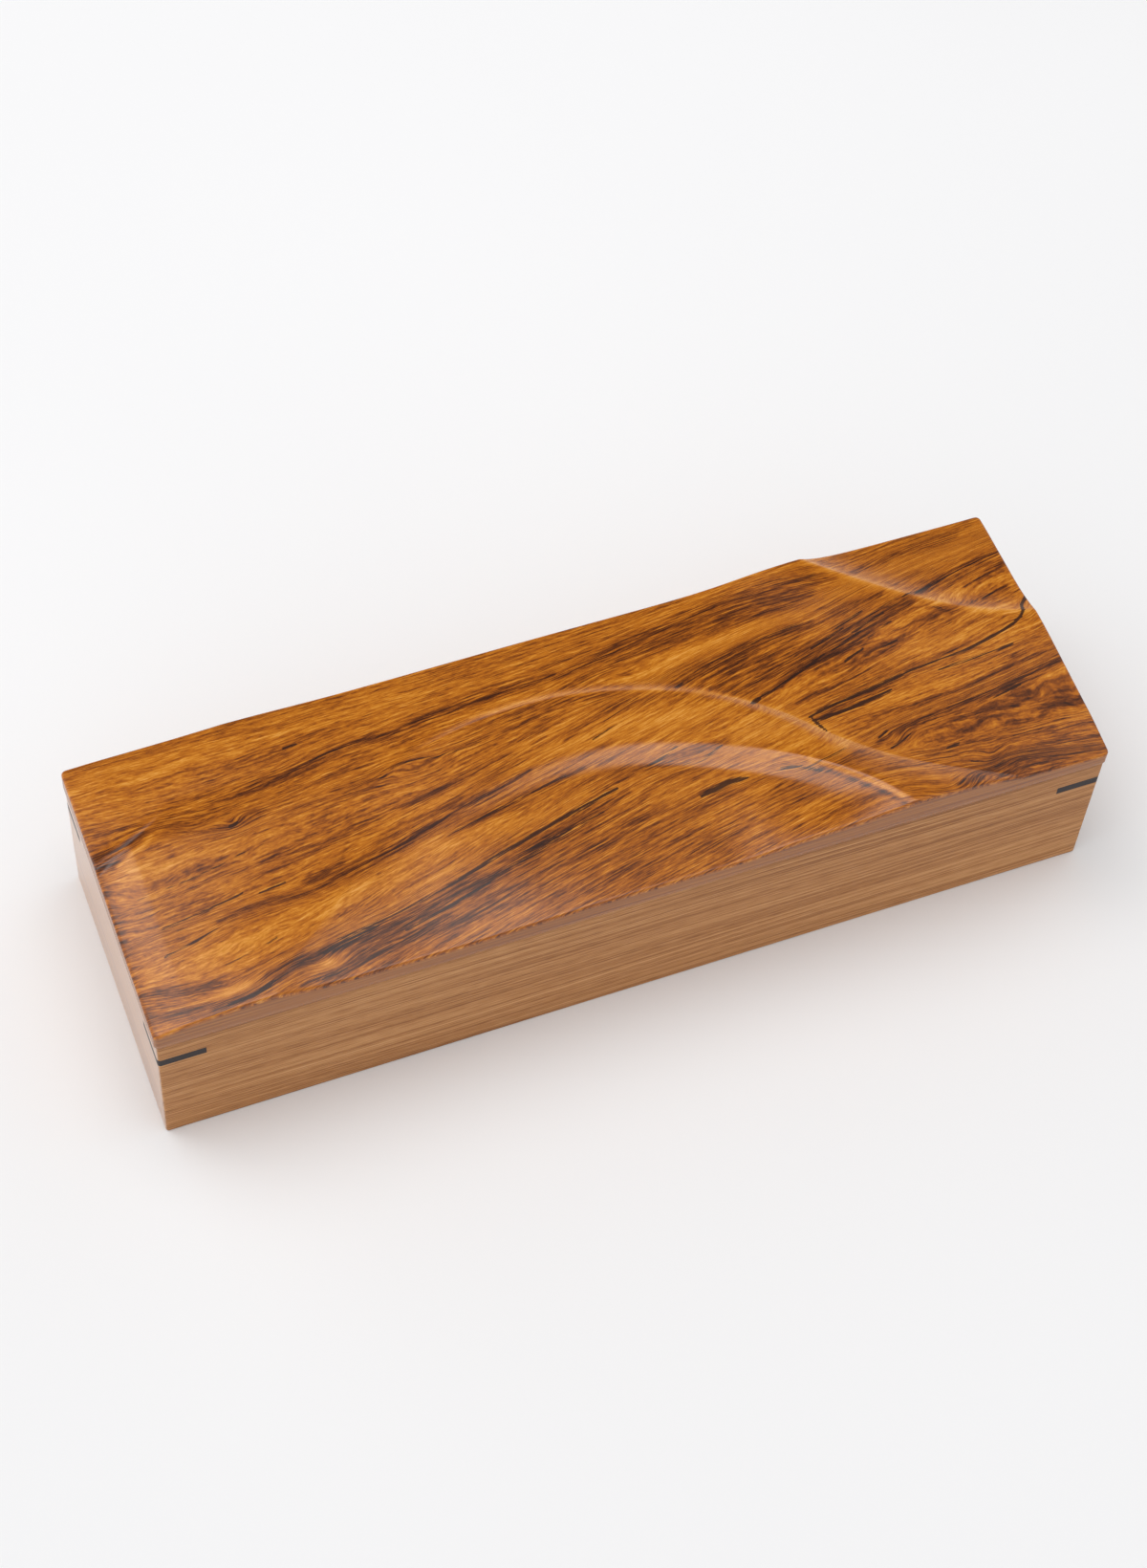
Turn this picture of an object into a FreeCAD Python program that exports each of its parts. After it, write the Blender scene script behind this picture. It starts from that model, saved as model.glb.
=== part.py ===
"""A wooden box for an inkstone and an ink stick, with a lift-off lid carved in waves.

Millimetres. X runs along the box, Y from front to back, Z up. The origin is at the middle
of the box, on the surface that it stands on.
"""
import FreeCAD
import Part

import math
import os

from FreeCAD import Vector

# Driving dimensions of the body
BODY_LENGTH = 300.0
BODY_WIDTH = 94.5
BODY_HEIGHT = 51.0
WALL = 8.0
CORNER_ROUND = 1.0        # outer upright corners
FOOT_ROUND = 0.6          # lower edge of the walls
PANEL_THICKNESS = 5.0
PANEL_RISE = 3.0          # underside of the bottom panel above the foot
GROOVE_DEPTH = 4.0
PANEL_FLOAT = 0.5         # gap round the panel, so that the wood can swell

# Corner keys
KEY_THICKNESS = 3.1
KEY_DROP = 7.8            # from the rim to the top of a key
KEY_COVER = 1.1           # wood left between a key and the inner corner

# Lid
LID_OVERHANG = 0.5
LID_CORNER = 1.6
LID_EASING = 0.6          # rounding round the carved face
TONGUE_HEIGHT = 3.5
TONGUE_CLEARANCE = 0.4
TONGUE_CORNER = 1.5

# Divider
DIVIDER_THICKNESS = 6.0
HOUSING_DEPTH = 2.5
HOUSING_END_GAP = 0.2
DIVIDER_TOP_GAP = 1.0     # from the divider to the lid's tongue
STONE_BAY_LENGTH = 150.0

# Inkstone and its bed
STONE_LENGTH = 126.0
STONE_WIDTH = 66.0
STONE_HEIGHT = 20.0
STONE_CORNER = 5.0
STONE_EASING = 1.0
STONE_RIM = 5.5
FLAT_DEPTH = 2.6          # grinding flat below the rim
WELL_DEPTH = 9.5          # floor of the ink well below the rim
WELL_FLOOR_LENGTH = 15.0
WELL_SLOPE_LENGTH = 24.0
STONE_SEAT = 5.0          # how deep the stone stands in its bed
STONE_GAP = 0.5           # play round the stone in its bed
HEADROOM = 9.5            # from the lid's tongue to the top of the stone
BED_GAP = 0.4             # play round each bed in its bay

# Ink stick and its bed
STICK_LENGTH = 98.0
STICK_WIDTH = 25.0
STICK_THICKNESS = 11.0
STICK_CORNER = 3.0
STICK_BEVEL = 0.8         # round the broad faces
STICK_BORDER = 2.4        # raised border round the panel of each face
STICK_PANEL_DEPTH = 0.6
STICK_GAP = 0.9           # play round the stick in its trough
STICK_SUNK = 1.0          # top of the stick below the top of its bed
TROUGH_LAND = 9.0         # wood between the two troughs
TROUGH_CORNER = 3.5
SCOOP_RADIUS = 18.0
SCOOP_BELOW_TROUGH = 3.0
SCOOP_MARGIN = 2.2        # wood left at each end of the scoop

# The wave relief, laid out on a lid of this size and stretched to the real one
RELIEF_LENGTH = 301.0
RELIEF_WIDTH = 95.5
RELIEF_STEP = 2.5         # spacing of the knots of the carved face
RELIEF_MARGIN = 4.0       # how far the carved face is drawn past the lid
EDGE_CLEARANCE = 3.0      # no knot stands nearer the outline, so its edges stay in one piece
RELIEF_GROUND = 6.7       # height of the carved face at the long edges
RELIEF_CROWN = 1.9        # how much higher it is along the middle
CROWN_REACH = 50.0        # from the middle to where the crown has run out

# Heights of the relief's features, in mm
OUTER_STEP = 1.4          # the outer wave along the back
OUTER_FLANK_ADDS = 0.3    # more on its flank
OUTER_FOOT_ADDS = 2.4     # and more towards the front edge
INNER_DROP = 0.6          # the inner wave where it starts
INNER_MIDDLE_ADDS = 1.5   # more along its middle
INNER_COVE_ADDS = 0.9     # and more in the cove at the right
LIP_STEP = 0.9            # step just inside the crest of the cove
LIP_SWELL = 0.25          # swelling of that crest
CORNER_RISE = 3.5         # crest of the corner scoop at the back edge
CORNER_LOSS = 1.7         # how much less it is at the right end
BAY_STEP = 1.4            # short steep side of the bay's crest, at the left end
BAY_RISE = 0.7            # the rest of that crest
BAY_BACK_ADDS = 0.6       # more towards the back edge
FRONT_RISE = 3.5          # crest of the hump in the front edge
RIGHT_FALL = 0.8          # how much the right end lies lower
RIGHT_BACK_SHARE = 0.6    # share of that which the back corner is spared
RIGHT_FRONT_FALL = 1.1    # how much lower still the front corner lies
LEFT_ROLL = 0.35          # how much the left end rolls down behind the bay's crest
LEFT_ROLL_ADDS = 2.1      # more in front of it
LEFT_ROLL_LOSS = 0.9      # less towards the front edge

# How far the sides of the crests reach, in mm, each with the power of its curve
OUTER_SIDE = (3.6, 1.2)
COVE_SIDE = (11.0, 1.25)
LIP_SIDE = (2.2, 1.0)
LIP_BREADTH = 3.0
INNER_STEP_SPAN = (-0.4, 8.1)
OUTER_SHOULDER = 6.0      # width of the rounded shoulder on the flank
SHOULDER_ADDS = 12.0      # how much wider it is at the front edge
SHOULDER_POWER = 2.3
CORNER_STEEP_SIDE = (6.0, 1.0)
CORNER_LONG_SIDE = (21.0, 1.9)
BAY_STEEP_SIDE = (2.0, 1.0)
BAY_GENTLE_SIDE = (18.0, 1.0)
BAY_LONG_SIDE = (24.0, 1.8)
FRONT_STEEP_SIDE = (9.0, 1.3)
FRONT_LONG_SIDE = (27.0, 2.0)
LEFT_ROLL_LENGTH = 12.0
LEFT_ROLL_POWER = 1.5

# Where features grow in: from the first x or y to the second
OUTER_GROWS_X = (-75.0, -30.0)
FLANK_X = (25.0, 60.0)
OUTER_FOOT_Y = (-8.0, -50.0)
SHOULDER_Y = (-10.0, -48.0)
INNER_GROWS_X = (-58.0, -24.0)
INNER_MIDDLE_X = (-40.0, 40.0)
COVE_X = (38.0, 72.0)
LIP_Y = (-47.0, -35.0)
CORNER_X = (84.0, 150.0)
BAY_STEP_Y = (27.0, 11.0)
BAY_BACK_Y = (11.0, 41.0)
BAY_SIDE_SPAN = (1.0, -1.0)
FRONT_Y = (4.0, -50.0)
RIGHT_X = (105.0, 145.0)
RIGHT_BACK_Y = (30.0, 46.0)
RIGHT_FRONT_X = (115.0, 150.0)
RIGHT_FRONT_Y = (-31.0, -49.0)
LEFT_ROLL_X = -138.5
LEFT_FRONT_Y = (-14.0, -44.0)

# Broad swellings and hollows: middle x and y, reach along x and y, height
SWELLS = ((-46, -58, 24, 20, -1.6), (-5, 54, 50, 14, 0.6), (150, 18, 26, 11, -0.6))

# Crest lines of the relief, from left to right or from the middle outwards
BAY_CREST = ((-160, 5), (-150, 9), (-138, 15), (-127, 22), (-116, 32), (-104, 44), (-98, 52))
CORNER_CREST = ((82, 54), (90, 45.5), (100, 36), (111, 26.5), (124, 17.5), (137, 11),
                (150, 6.5), (160, 4.5))
OUTER_WAVE = ((-84, -4), (-72, 8), (-58, 16.5), (-40, 22), (-22, 25), (-4, 25), (12, 22),
              (30, 15.5), (47, 7.5), (60, -3), (72, -16), (84, -26.5), (96, -34.5),
              (110, -42), (124, -49))
INNER_WAVE = ((-62, -9), (-44, -3), (-26, 1), (-8, 2.5), (10, 0.8), (26, -4), (42, -11),
              (57, -20), (70, -30), (80, -40), (88, -51))
FRONT_CREST = ((-58, 2), (-68, -6), (-78, -15.5), (-90, -25), (-101, -34), (-111, -43),
               (-118, -52))

# Worked out from the sizes above
INNER_LENGTH = BODY_LENGTH - 2 * WALL
INNER_WIDTH = BODY_WIDTH - 2 * WALL
FLOOR = PANEL_RISE + PANEL_THICKNESS
LID_LENGTH = BODY_LENGTH + 2 * LID_OVERHANG
LID_WIDTH = BODY_WIDTH + 2 * LID_OVERHANG
TONGUE_BOTTOM = BODY_HEIGHT - TONGUE_HEIGHT
CONTENT_TOP = TONGUE_BOTTOM - HEADROOM
DIVIDER_LEFT = -INNER_LENGTH / 2 + STONE_BAY_LENGTH
DIVIDER_RIGHT = DIVIDER_LEFT + DIVIDER_THICKNESS
STICK_BAY_LENGTH = INNER_LENGTH / 2 - DIVIDER_RIGHT
STONE_BAY_MIDDLE = (-INNER_LENGTH / 2 + DIVIDER_LEFT) / 2
STICK_BAY_MIDDLE = (INNER_LENGTH / 2 + DIVIDER_RIGHT) / 2
STONE_BOTTOM = CONTENT_TOP - STONE_HEIGHT
STICK_BED_TOP = CONTENT_TOP
STICK_TOP = STICK_BED_TOP - STICK_SUNK
STICK_BOTTOM = STICK_TOP - STICK_THICKNESS
TROUGH_WIDTH = STICK_WIDTH + 2 * STICK_GAP
TROUGH_OFFSET = (TROUGH_LAND + TROUGH_WIDTH) / 2
KEY_LEG = 2 * WALL - math.sqrt(2) * KEY_COVER
KEY_TOP = BODY_HEIGHT - KEY_DROP
KEY_BOTTOM = KEY_TOP - KEY_THICKNESS


def box(length, width, low, high, x=0.0, y=0.0):
    """An upright block centred on x, y."""
    corner = Vector(x - length / 2, y - width / 2, low)
    return Part.makeBox(length, width, high - low, corner)


def upright_edges(shape):
    """The straight edges that run along Z."""
    found = []
    for edge in shape.Edges:
        ends = edge.Vertexes
        if len(ends) == 2 and abs(ends[0].Z - ends[1].Z) > 1e-6:
            if math.hypot(ends[0].X - ends[1].X, ends[0].Y - ends[1].Y) < 1e-6:
                found.append(edge)
    return found


def edges_at(shape, height):
    """The edges that lie at one height."""
    found = []
    for edge in shape.Edges:
        bounds = edge.BoundBox
        if abs(bounds.ZMin - height) < 1e-4 and abs(bounds.ZMax - height) < 1e-4:
            found.append(edge)
    return found


def rounded_box(length, width, low, high, radius, x=0.0, y=0.0):
    """An upright block with rounded upright corners."""
    block = box(length, width, low, high, x, y)
    return block.makeFillet(radius, upright_edges(block))


def prism(points, low, high):
    """A polygon in plan, drawn up from low to high."""
    corners = [Vector(x, y, low) for x, y in points]
    face = Part.Face(Part.makePolygon(corners + corners[:1]))
    return face.extrude(Vector(0, 0, high - low))


# Body

def body_envelope():
    """The outside of the body, with its corners and its foot rounded."""
    block = rounded_box(BODY_LENGTH, BODY_WIDTH, 0.0, BODY_HEIGHT, CORNER_ROUND)
    return block.makeFillet(FOOT_ROUND, edges_at(block, 0.0))


def key_blank(side_x, side_y):
    """The triangle that a saw cut and its key fill at one corner."""
    x = side_x * BODY_LENGTH / 2
    y = side_y * BODY_WIDTH / 2
    points = ((x, y), (x - side_x * KEY_LEG, y), (x, y - side_y * KEY_LEG))
    return prism(points, KEY_BOTTOM, KEY_TOP)


def corner_key(side_x, side_y):
    return key_blank(side_x, side_y).common(body_envelope())


def wall_ring():
    """The four walls as one ring, with the groove, the housings and the key slots."""
    ring = body_envelope()
    ring = ring.cut(box(INNER_LENGTH, INNER_WIDTH, 0.0, BODY_HEIGHT))
    ring = ring.cut(box(INNER_LENGTH + 2 * GROOVE_DEPTH, INNER_WIDTH + 2 * GROOVE_DEPTH,
                        PANEL_RISE, FLOOR))
    middle = (DIVIDER_LEFT + DIVIDER_RIGHT) / 2
    ring = ring.cut(box(DIVIDER_THICKNESS, INNER_WIDTH + 2 * HOUSING_DEPTH,
                        FLOOR, BODY_HEIGHT, middle))
    for side_x in (-1, 1):
        for side_y in (-1, 1):
            ring = ring.cut(key_blank(side_x, side_y))
    return ring


def mitre_region(side, long_wall):
    """What the 45 degree mitres leave to one wall, in plan."""
    half_length = BODY_LENGTH / 2
    half_width = BODY_WIDTH / 2
    run = half_width / 2
    if long_wall:
        outer_y = side * half_width
        inner_y = side * (half_width - run)
        points = ((-half_length, outer_y), (half_length, outer_y),
                  (half_length - run, inner_y), (-half_length + run, inner_y))
    else:
        outer_x = side * half_length
        inner_x = side * (half_length - run)
        points = ((outer_x, -half_width), (outer_x, half_width),
                  (inner_x, half_width - run), (inner_x, -half_width + run))
    return prism(points, 0.0, BODY_HEIGHT)


def wall(side, long_wall):
    return wall_ring().common(mitre_region(side, long_wall))


def bottom_panel():
    reach = 2 * (GROOVE_DEPTH - PANEL_FLOAT)
    return box(INNER_LENGTH + reach, INNER_WIDTH + reach, PANEL_RISE, FLOOR)


def divider():
    width = INNER_WIDTH + 2 * (HOUSING_DEPTH - HOUSING_END_GAP)
    middle = (DIVIDER_LEFT + DIVIDER_RIGHT) / 2
    return box(DIVIDER_THICKNESS, width, FLOOR, TONGUE_BOTTOM - DIVIDER_TOP_GAP, middle)


# Relief of the lid

def grown(value, span):
    """0 before the span, 1 past it, with level ends."""
    start, end = span
    share = min(1.0, max(0.0, (value - start) / (end - start)))
    return share * share * (3 - 2 * share)


def fall(distance, side):
    """1 up to a crest, then down to 0 over about the reach of its side."""
    reach, power = side
    return math.exp(-(max(0.0, distance) / reach) ** power)


class Crest:
    """A smooth line in plan, and the distance of a point from it."""

    def __init__(self, points, pieces=72):
        curve = Part.BSplineCurve()
        curve.interpolate([Vector(x, y, 0) for x, y in points])
        line = curve.discretize(pieces + 1)
        self.spans = []
        for start, end in zip(line[:-1], line[1:]):
            run_x = end.x - start.x
            run_y = end.y - start.y
            self.spans.append((start.x, start.y, run_x, run_y, run_x ** 2 + run_y ** 2))

    def distance(self, x, y):
        """Positive on the left of the line's direction."""
        nearest = 1e9
        side = 1.0
        for start_x, start_y, run_x, run_y, length_squared in self.spans:
            off_x = x - start_x
            off_y = y - start_y
            share = min(1.0, max(0.0, (off_x * run_x + off_y * run_y) / length_squared))
            gap_x = off_x - share * run_x
            gap_y = off_y - share * run_y
            gap = gap_x * gap_x + gap_y * gap_y
            if gap < nearest:
                nearest = gap
                side = math.copysign(1.0, run_x * gap_y - run_y * gap_x)
        return side * math.sqrt(nearest)


def ground(x, y):
    """The broad shape of the carved face, under the waves."""
    z = RELIEF_GROUND + RELIEF_CROWN * (1 - min(1.0, (y / CROWN_REACH) ** 2))
    for middle_x, middle_y, reach_x, reach_y, height in SWELLS:
        z += height * math.exp(-((x - middle_x) / reach_x) ** 2 - ((y - middle_y) / reach_y) ** 2)
    z -= RIGHT_FALL * grown(x, RIGHT_X) * (1 - RIGHT_BACK_SHARE * grown(y, RIGHT_BACK_Y))
    return z - RIGHT_FRONT_FALL * grown(x, RIGHT_FRONT_X) * grown(y, RIGHT_FRONT_Y)


def outer_wave(outer, x, y):
    """A crisp step along the back, and a rounded shoulder with a creased foot on the flank."""
    flank = grown(x, FLANK_X)
    rise = OUTER_STEP + (OUTER_FLANK_ADDS + OUTER_FOOT_ADDS * grown(y, OUTER_FOOT_Y)) * flank
    width = OUTER_SHOULDER + SHOULDER_ADDS * grown(y, SHOULDER_Y)
    inside = min(1.0, max(0.0, -outer / width))
    rounded = 1 - (1 - inside) ** SHOULDER_POWER
    shape = (1 - flank) * fall(outer, OUTER_SIDE) + flank * rounded
    return rise * grown(x, OUTER_GROWS_X) * shape


def inner_wave(inner, x, y):
    """A soft step down that turns into a cove with a lip to the right."""
    cove = grown(x, COVE_X)
    lip = cove * grown(y, LIP_Y)
    drop = INNER_DROP + INNER_MIDDLE_ADDS * grown(x, INNER_MIDDLE_X) + INNER_COVE_ADDS * cove
    drop *= grown(x, INNER_GROWS_X)
    z = -drop * ((1 - cove) * grown(-inner, INNER_STEP_SPAN)
                 + cove * (1 - fall(-inner, COVE_SIDE)))
    z -= LIP_STEP * lip * (1 - fall(-inner, LIP_SIDE))
    return z + LIP_SWELL * lip * math.exp(-(inner / LIP_BREADTH) ** 2)


def corner_scoop(corner, x):
    """The crest between the lid's back and the scoop in its back right corner."""
    rise = CORNER_RISE - CORNER_LOSS * grown(x, CORNER_X)
    return rise * fall(corner, CORNER_STEEP_SIDE) * fall(-corner, CORNER_LONG_SIDE)


def bay(edge, y):
    """The crest round the bay at the left, with a short steep side near the left end."""
    steep = BAY_STEP * grown(y, BAY_STEP_Y)
    gentle = BAY_RISE + BAY_BACK_ADDS * grown(y, BAY_BACK_Y)
    outside = steep * fall(edge, BAY_STEEP_SIDE) + gentle * fall(edge, BAY_GENTLE_SIDE)
    return outside * fall(-edge, BAY_LONG_SIDE)


def left_roll(edge, x, y):
    """How far the left end rolls down, most in front of the bay's crest."""
    ahead = grown(edge, BAY_SIDE_SPAN)
    roll = LEFT_ROLL + ahead * (LEFT_ROLL_ADDS - LEFT_ROLL_LOSS * grown(y, LEFT_FRONT_Y))
    return roll * (max(0.0, LEFT_ROLL_X - x) / LEFT_ROLL_LENGTH) ** LEFT_ROLL_POWER


def relief_function():
    """The height of the carved face above the rim, as a function of the relief's own x, y."""
    bay_line = Crest(BAY_CREST)
    corner_line = Crest(CORNER_CREST)
    outer_line = Crest(OUTER_WAVE)
    inner_line = Crest(INNER_WAVE)
    front_line = Crest(FRONT_CREST)

    def height(x, y):
        bay_edge = bay_line.distance(x, y)
        front = front_line.distance(x, y)
        z = ground(x, y)
        z += outer_wave(outer_line.distance(x, y), x, y)
        z += inner_wave(inner_line.distance(x, y), x, y)
        z += corner_scoop(corner_line.distance(x, y), x)
        z += bay(bay_edge, y)
        z += (FRONT_RISE * grown(y, FRONT_Y) * fall(front, FRONT_STEEP_SIDE)
              * fall(-front, FRONT_LONG_SIDE))
        return z - left_roll(bay_edge, x, y)

    return height


def knots_across(size):
    """Knots of the carved face across the lid, clear of its edges."""
    clear = size / 2 - EDGE_CLEARANCE
    count = int(round(2 * clear / RELIEF_STEP))
    even = [clear * (2 * k / count - 1) for k in range(count + 1)]
    end = size / 2 + RELIEF_MARGIN
    return [-end] + even + [end]


def pole_places(knots, degree):
    """Where the control points stand, so that the surface keeps true in plan."""
    full = [knots[0]] * degree + knots + [knots[-1]] * degree
    return [sum(full[k + 1:k + degree + 1]) / degree for k in range(len(full) - degree - 1)]


def carved_face():
    """The top of the lid as one smooth surface, wider than the lid."""
    height = relief_function()
    degree = 3
    knots_x = knots_across(LID_LENGTH)
    knots_y = knots_across(LID_WIDTH)
    poles = []
    for x in pole_places(knots_x, degree):
        line = []
        for y in pole_places(knots_y, degree):
            z = height(x * RELIEF_LENGTH / LID_LENGTH, y * RELIEF_WIDTH / LID_WIDTH)
            line.append(Vector(x, y, BODY_HEIGHT + z))
        poles.append(line)
    turns_x = [degree + 1] + [1] * (len(knots_x) - 2) + [degree + 1]
    turns_y = [degree + 1] + [1] * (len(knots_y) - 2) + [degree + 1]
    surface = Part.BSplineSurface()
    surface.buildFromPolesMultsKnots(poles, turns_x, turns_y, knots_x, knots_y,
                                     False, False, degree, degree)
    return surface.toShape()


def lid():
    """A board with a rebate below and the carved face on top."""
    waste_height = 30.0
    board = rounded_box(LID_LENGTH, LID_WIDTH, BODY_HEIGHT, BODY_HEIGHT + waste_height / 2,
                        LID_CORNER)
    board = board.cut(carved_face().extrude(Vector(0, 0, waste_height)))
    carved = max(board.Faces, key=lambda face: face.BoundBox.ZMax)
    board = board.makeFillet(LID_EASING, carved.Edges)
    tongue = rounded_box(INNER_LENGTH - 2 * TONGUE_CLEARANCE, INNER_WIDTH - 2 * TONGUE_CLEARANCE,
                         TONGUE_BOTTOM, BODY_HEIGHT, TONGUE_CORNER)
    return board.fuse(tongue)


# Inkstone

def stone_bed():
    length = STONE_BAY_LENGTH - 2 * BED_GAP
    width = INNER_WIDTH - 2 * BED_GAP
    bed = box(length, width, FLOOR, STONE_BOTTOM + STONE_SEAT, STONE_BAY_MIDDLE)
    recess = rounded_box(STONE_LENGTH + 2 * STONE_GAP, STONE_WIDTH + 2 * STONE_GAP,
                         STONE_BOTTOM, CONTENT_TOP, STONE_CORNER + STONE_GAP, STONE_BAY_MIDDLE)
    return bed.cut(recess)


def stone_hollow():
    """The grinding flat, the slope and the ink well, as the solid that is cut away."""
    x_left = STONE_BAY_MIDDLE - STONE_LENGTH / 2 + STONE_RIM
    x_right = STONE_BAY_MIDDLE + STONE_LENGTH / 2 - STONE_RIM
    flat = CONTENT_TOP - FLAT_DEPTH
    well = CONTENT_TOP - WELL_DEPTH
    x_well = x_left + WELL_FLOOR_LENGTH
    x_slope = x_well + WELL_SLOPE_LENGTH
    above = CONTENT_TOP + 1.0

    def point(x, z):
        return Vector(x, -STONE_WIDTH / 2, z)

    low = point(x_well, well)
    high = point(x_slope, flat)
    bend = point(x_well + 0.6 * WELL_SLOPE_LENGTH, flat - 0.36 * (flat - well))
    outline = [Part.Arc(low, bend, high).toShape()]
    corners = [high, point(x_right, flat), point(x_right, above), point(x_left, above),
               point(x_left, well), low]
    for start, end in zip(corners[:-1], corners[1:]):
        outline.append(Part.LineSegment(start, end).toShape())
    sweep = Part.Face(Part.Wire(outline)).extrude(Vector(0, STONE_WIDTH, 0))
    plan = rounded_box(STONE_LENGTH - 2 * STONE_RIM, STONE_WIDTH - 2 * STONE_RIM,
                       STONE_BOTTOM, above, STONE_CORNER, STONE_BAY_MIDDLE)
    return sweep.common(plan)


def inkstone():
    stone = rounded_box(STONE_LENGTH, STONE_WIDTH, STONE_BOTTOM, CONTENT_TOP, STONE_CORNER,
                        STONE_BAY_MIDDLE)
    stone = stone.makeFillet(STONE_EASING, edges_at(stone, CONTENT_TOP))
    return stone.cut(stone_hollow())


# Ink stick

def stick_bed():
    bed = box(STICK_BAY_LENGTH - 2 * BED_GAP, INNER_WIDTH - 2 * BED_GAP, FLOOR, STICK_BED_TOP,
              STICK_BAY_MIDDLE)
    for side in (-1, 1):
        bed = bed.cut(rounded_box(STICK_LENGTH + 2 * STICK_GAP, TROUGH_WIDTH, STICK_BOTTOM,
                                  STICK_BED_TOP, TROUGH_CORNER, STICK_BAY_MIDDLE,
                                  side * TROUGH_OFFSET))
    scoop_length = INNER_WIDTH - 2 * BED_GAP - 2 * SCOOP_MARGIN
    centre = STICK_BOTTOM - SCOOP_BELOW_TROUGH + SCOOP_RADIUS
    scoop = Part.makeCylinder(SCOOP_RADIUS, scoop_length,
                              Vector(STICK_BAY_MIDDLE, -scoop_length / 2, centre), Vector(0, 1, 0))
    return bed.cut(scoop)


def ink_stick():
    """A moulded bar with bevelled edges and a raised border round each broad face."""
    y = -TROUGH_OFFSET
    bar = rounded_box(STICK_LENGTH, STICK_WIDTH, STICK_BOTTOM, STICK_TOP, STICK_CORNER,
                      STICK_BAY_MIDDLE, y)
    rims = edges_at(bar, STICK_BOTTOM) + edges_at(bar, STICK_TOP)
    bar = bar.makeChamfer(STICK_BEVEL, rims)
    for low, high in ((STICK_BOTTOM, STICK_BOTTOM + STICK_PANEL_DEPTH),
                      (STICK_TOP - STICK_PANEL_DEPTH, STICK_TOP)):
        bar = bar.cut(rounded_box(STICK_LENGTH - 2 * STICK_BORDER, STICK_WIDTH - 2 * STICK_BORDER,
                                  low, high, STICK_CORNER / 2, STICK_BAY_MIDDLE, y))
    return bar


SIDE_NAMES = {(-1, -1): "front_left", (1, -1): "front_right",
              (-1, 1): "back_left", (1, 1): "back_right"}


def all_pieces():
    pieces = {
        "front_wall": wall(-1, True),
        "back_wall": wall(1, True),
        "left_end_wall": wall(-1, False),
        "right_end_wall": wall(1, False),
        "bottom_panel": bottom_panel(),
        "divider": divider(),
        "lid": lid(),
        "stone_bed": stone_bed(),
        "stick_bed": stick_bed(),
        "inkstone": inkstone(),
        "ink_stick": ink_stick(),
    }
    for (side_x, side_y), name in SIDE_NAMES.items():
        pieces["corner_key_" + name] = corner_key(side_x, side_y)
    return pieces


os.makedirs("parts", exist_ok=True)
for node, shape in all_pieces().items():
    shape.exportStep("parts/" + node + ".step")
    print(node, "solids", len(shape.Solids), "volume", round(shape.Volume), shape.isValid())
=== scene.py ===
"""The looks of a wooden ink stick and stone box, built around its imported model.

Metres, in the model's frame: X runs along the box, Y from front to back, Z up.
The relief and the figure of the lid are laid out in millimetres and scaled by MM.
"""
import math

import bpy
import numpy as np
from mathutils import Matrix, Vector


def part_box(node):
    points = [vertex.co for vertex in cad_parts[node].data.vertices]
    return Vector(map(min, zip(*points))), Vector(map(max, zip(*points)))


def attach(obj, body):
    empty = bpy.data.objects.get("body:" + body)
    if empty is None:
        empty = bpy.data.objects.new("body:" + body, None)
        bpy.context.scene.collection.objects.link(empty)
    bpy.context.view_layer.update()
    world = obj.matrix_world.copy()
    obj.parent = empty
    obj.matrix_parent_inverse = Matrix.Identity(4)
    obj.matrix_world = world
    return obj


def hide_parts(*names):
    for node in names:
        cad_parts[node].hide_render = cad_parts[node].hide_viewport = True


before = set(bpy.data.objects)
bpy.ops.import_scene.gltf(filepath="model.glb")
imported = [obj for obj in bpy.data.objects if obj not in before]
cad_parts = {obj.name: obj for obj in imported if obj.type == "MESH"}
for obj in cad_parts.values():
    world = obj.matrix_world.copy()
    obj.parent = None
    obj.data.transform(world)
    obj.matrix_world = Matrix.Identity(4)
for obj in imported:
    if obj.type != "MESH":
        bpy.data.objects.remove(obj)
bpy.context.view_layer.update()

MM = 0.001
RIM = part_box("front_wall")[1].z
STICK_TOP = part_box("ink_stick")[1].z
LID_LOW, LID_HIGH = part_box("lid")
LID_HALF_LENGTH = LID_HIGH.x / MM
LID_HALF_WIDTH = LID_HIGH.y / MM
LID_TOP = (LID_HIGH.z - RIM) / MM

# Camera, from the fit of the box's edges in a frame of 1200 x 1640
FRAME_HEIGHT_PX = 1640
FOCAL_PX = 3279.75
SENSOR = 36.0
CAMERA_AZIMUTH = -25.142
CAMERA_ELEVATION = 56.326
CAMERA_ROLL = 5.088
CAMERA_PLACE = (-2.689, 24.864, 986.66)     # right, up and back of the origin, in mm
CLIP_NEAR = 0.01
CLIP_FAR = 100.0

# Floor and light, in metres and degrees
FLOOR_HALF = 8.0
WORLD_LEVEL = 0.86
WORLD_TILT = (-0.35, 0.30, 0.0)     # the light grows to the left and to the back
BACKDROP_LEVEL = 0.92               # how bright the world itself looks
DARK_PATCH = (0.12, 0.66, 0.74)     # where the level parts of the lid reflect to
PATCH_SHARE = 0.06                  # light left in the middle of that patch
PATCH_START = 34.0                  # from its middle to where it starts
PATCH_FULL = 16.0                   # from its middle to where it is at its darkest
LAMP_PLACE = (-0.14, 0.26, 1.5)
LAMP_ALONG = (-0.66, 0.75, 0.0)     # level direction of the lamp's length
LAMP_LENGTH = 1.5
LAMP_WIDTH = 0.85
LAMP_RADIANCE = 2.4

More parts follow.
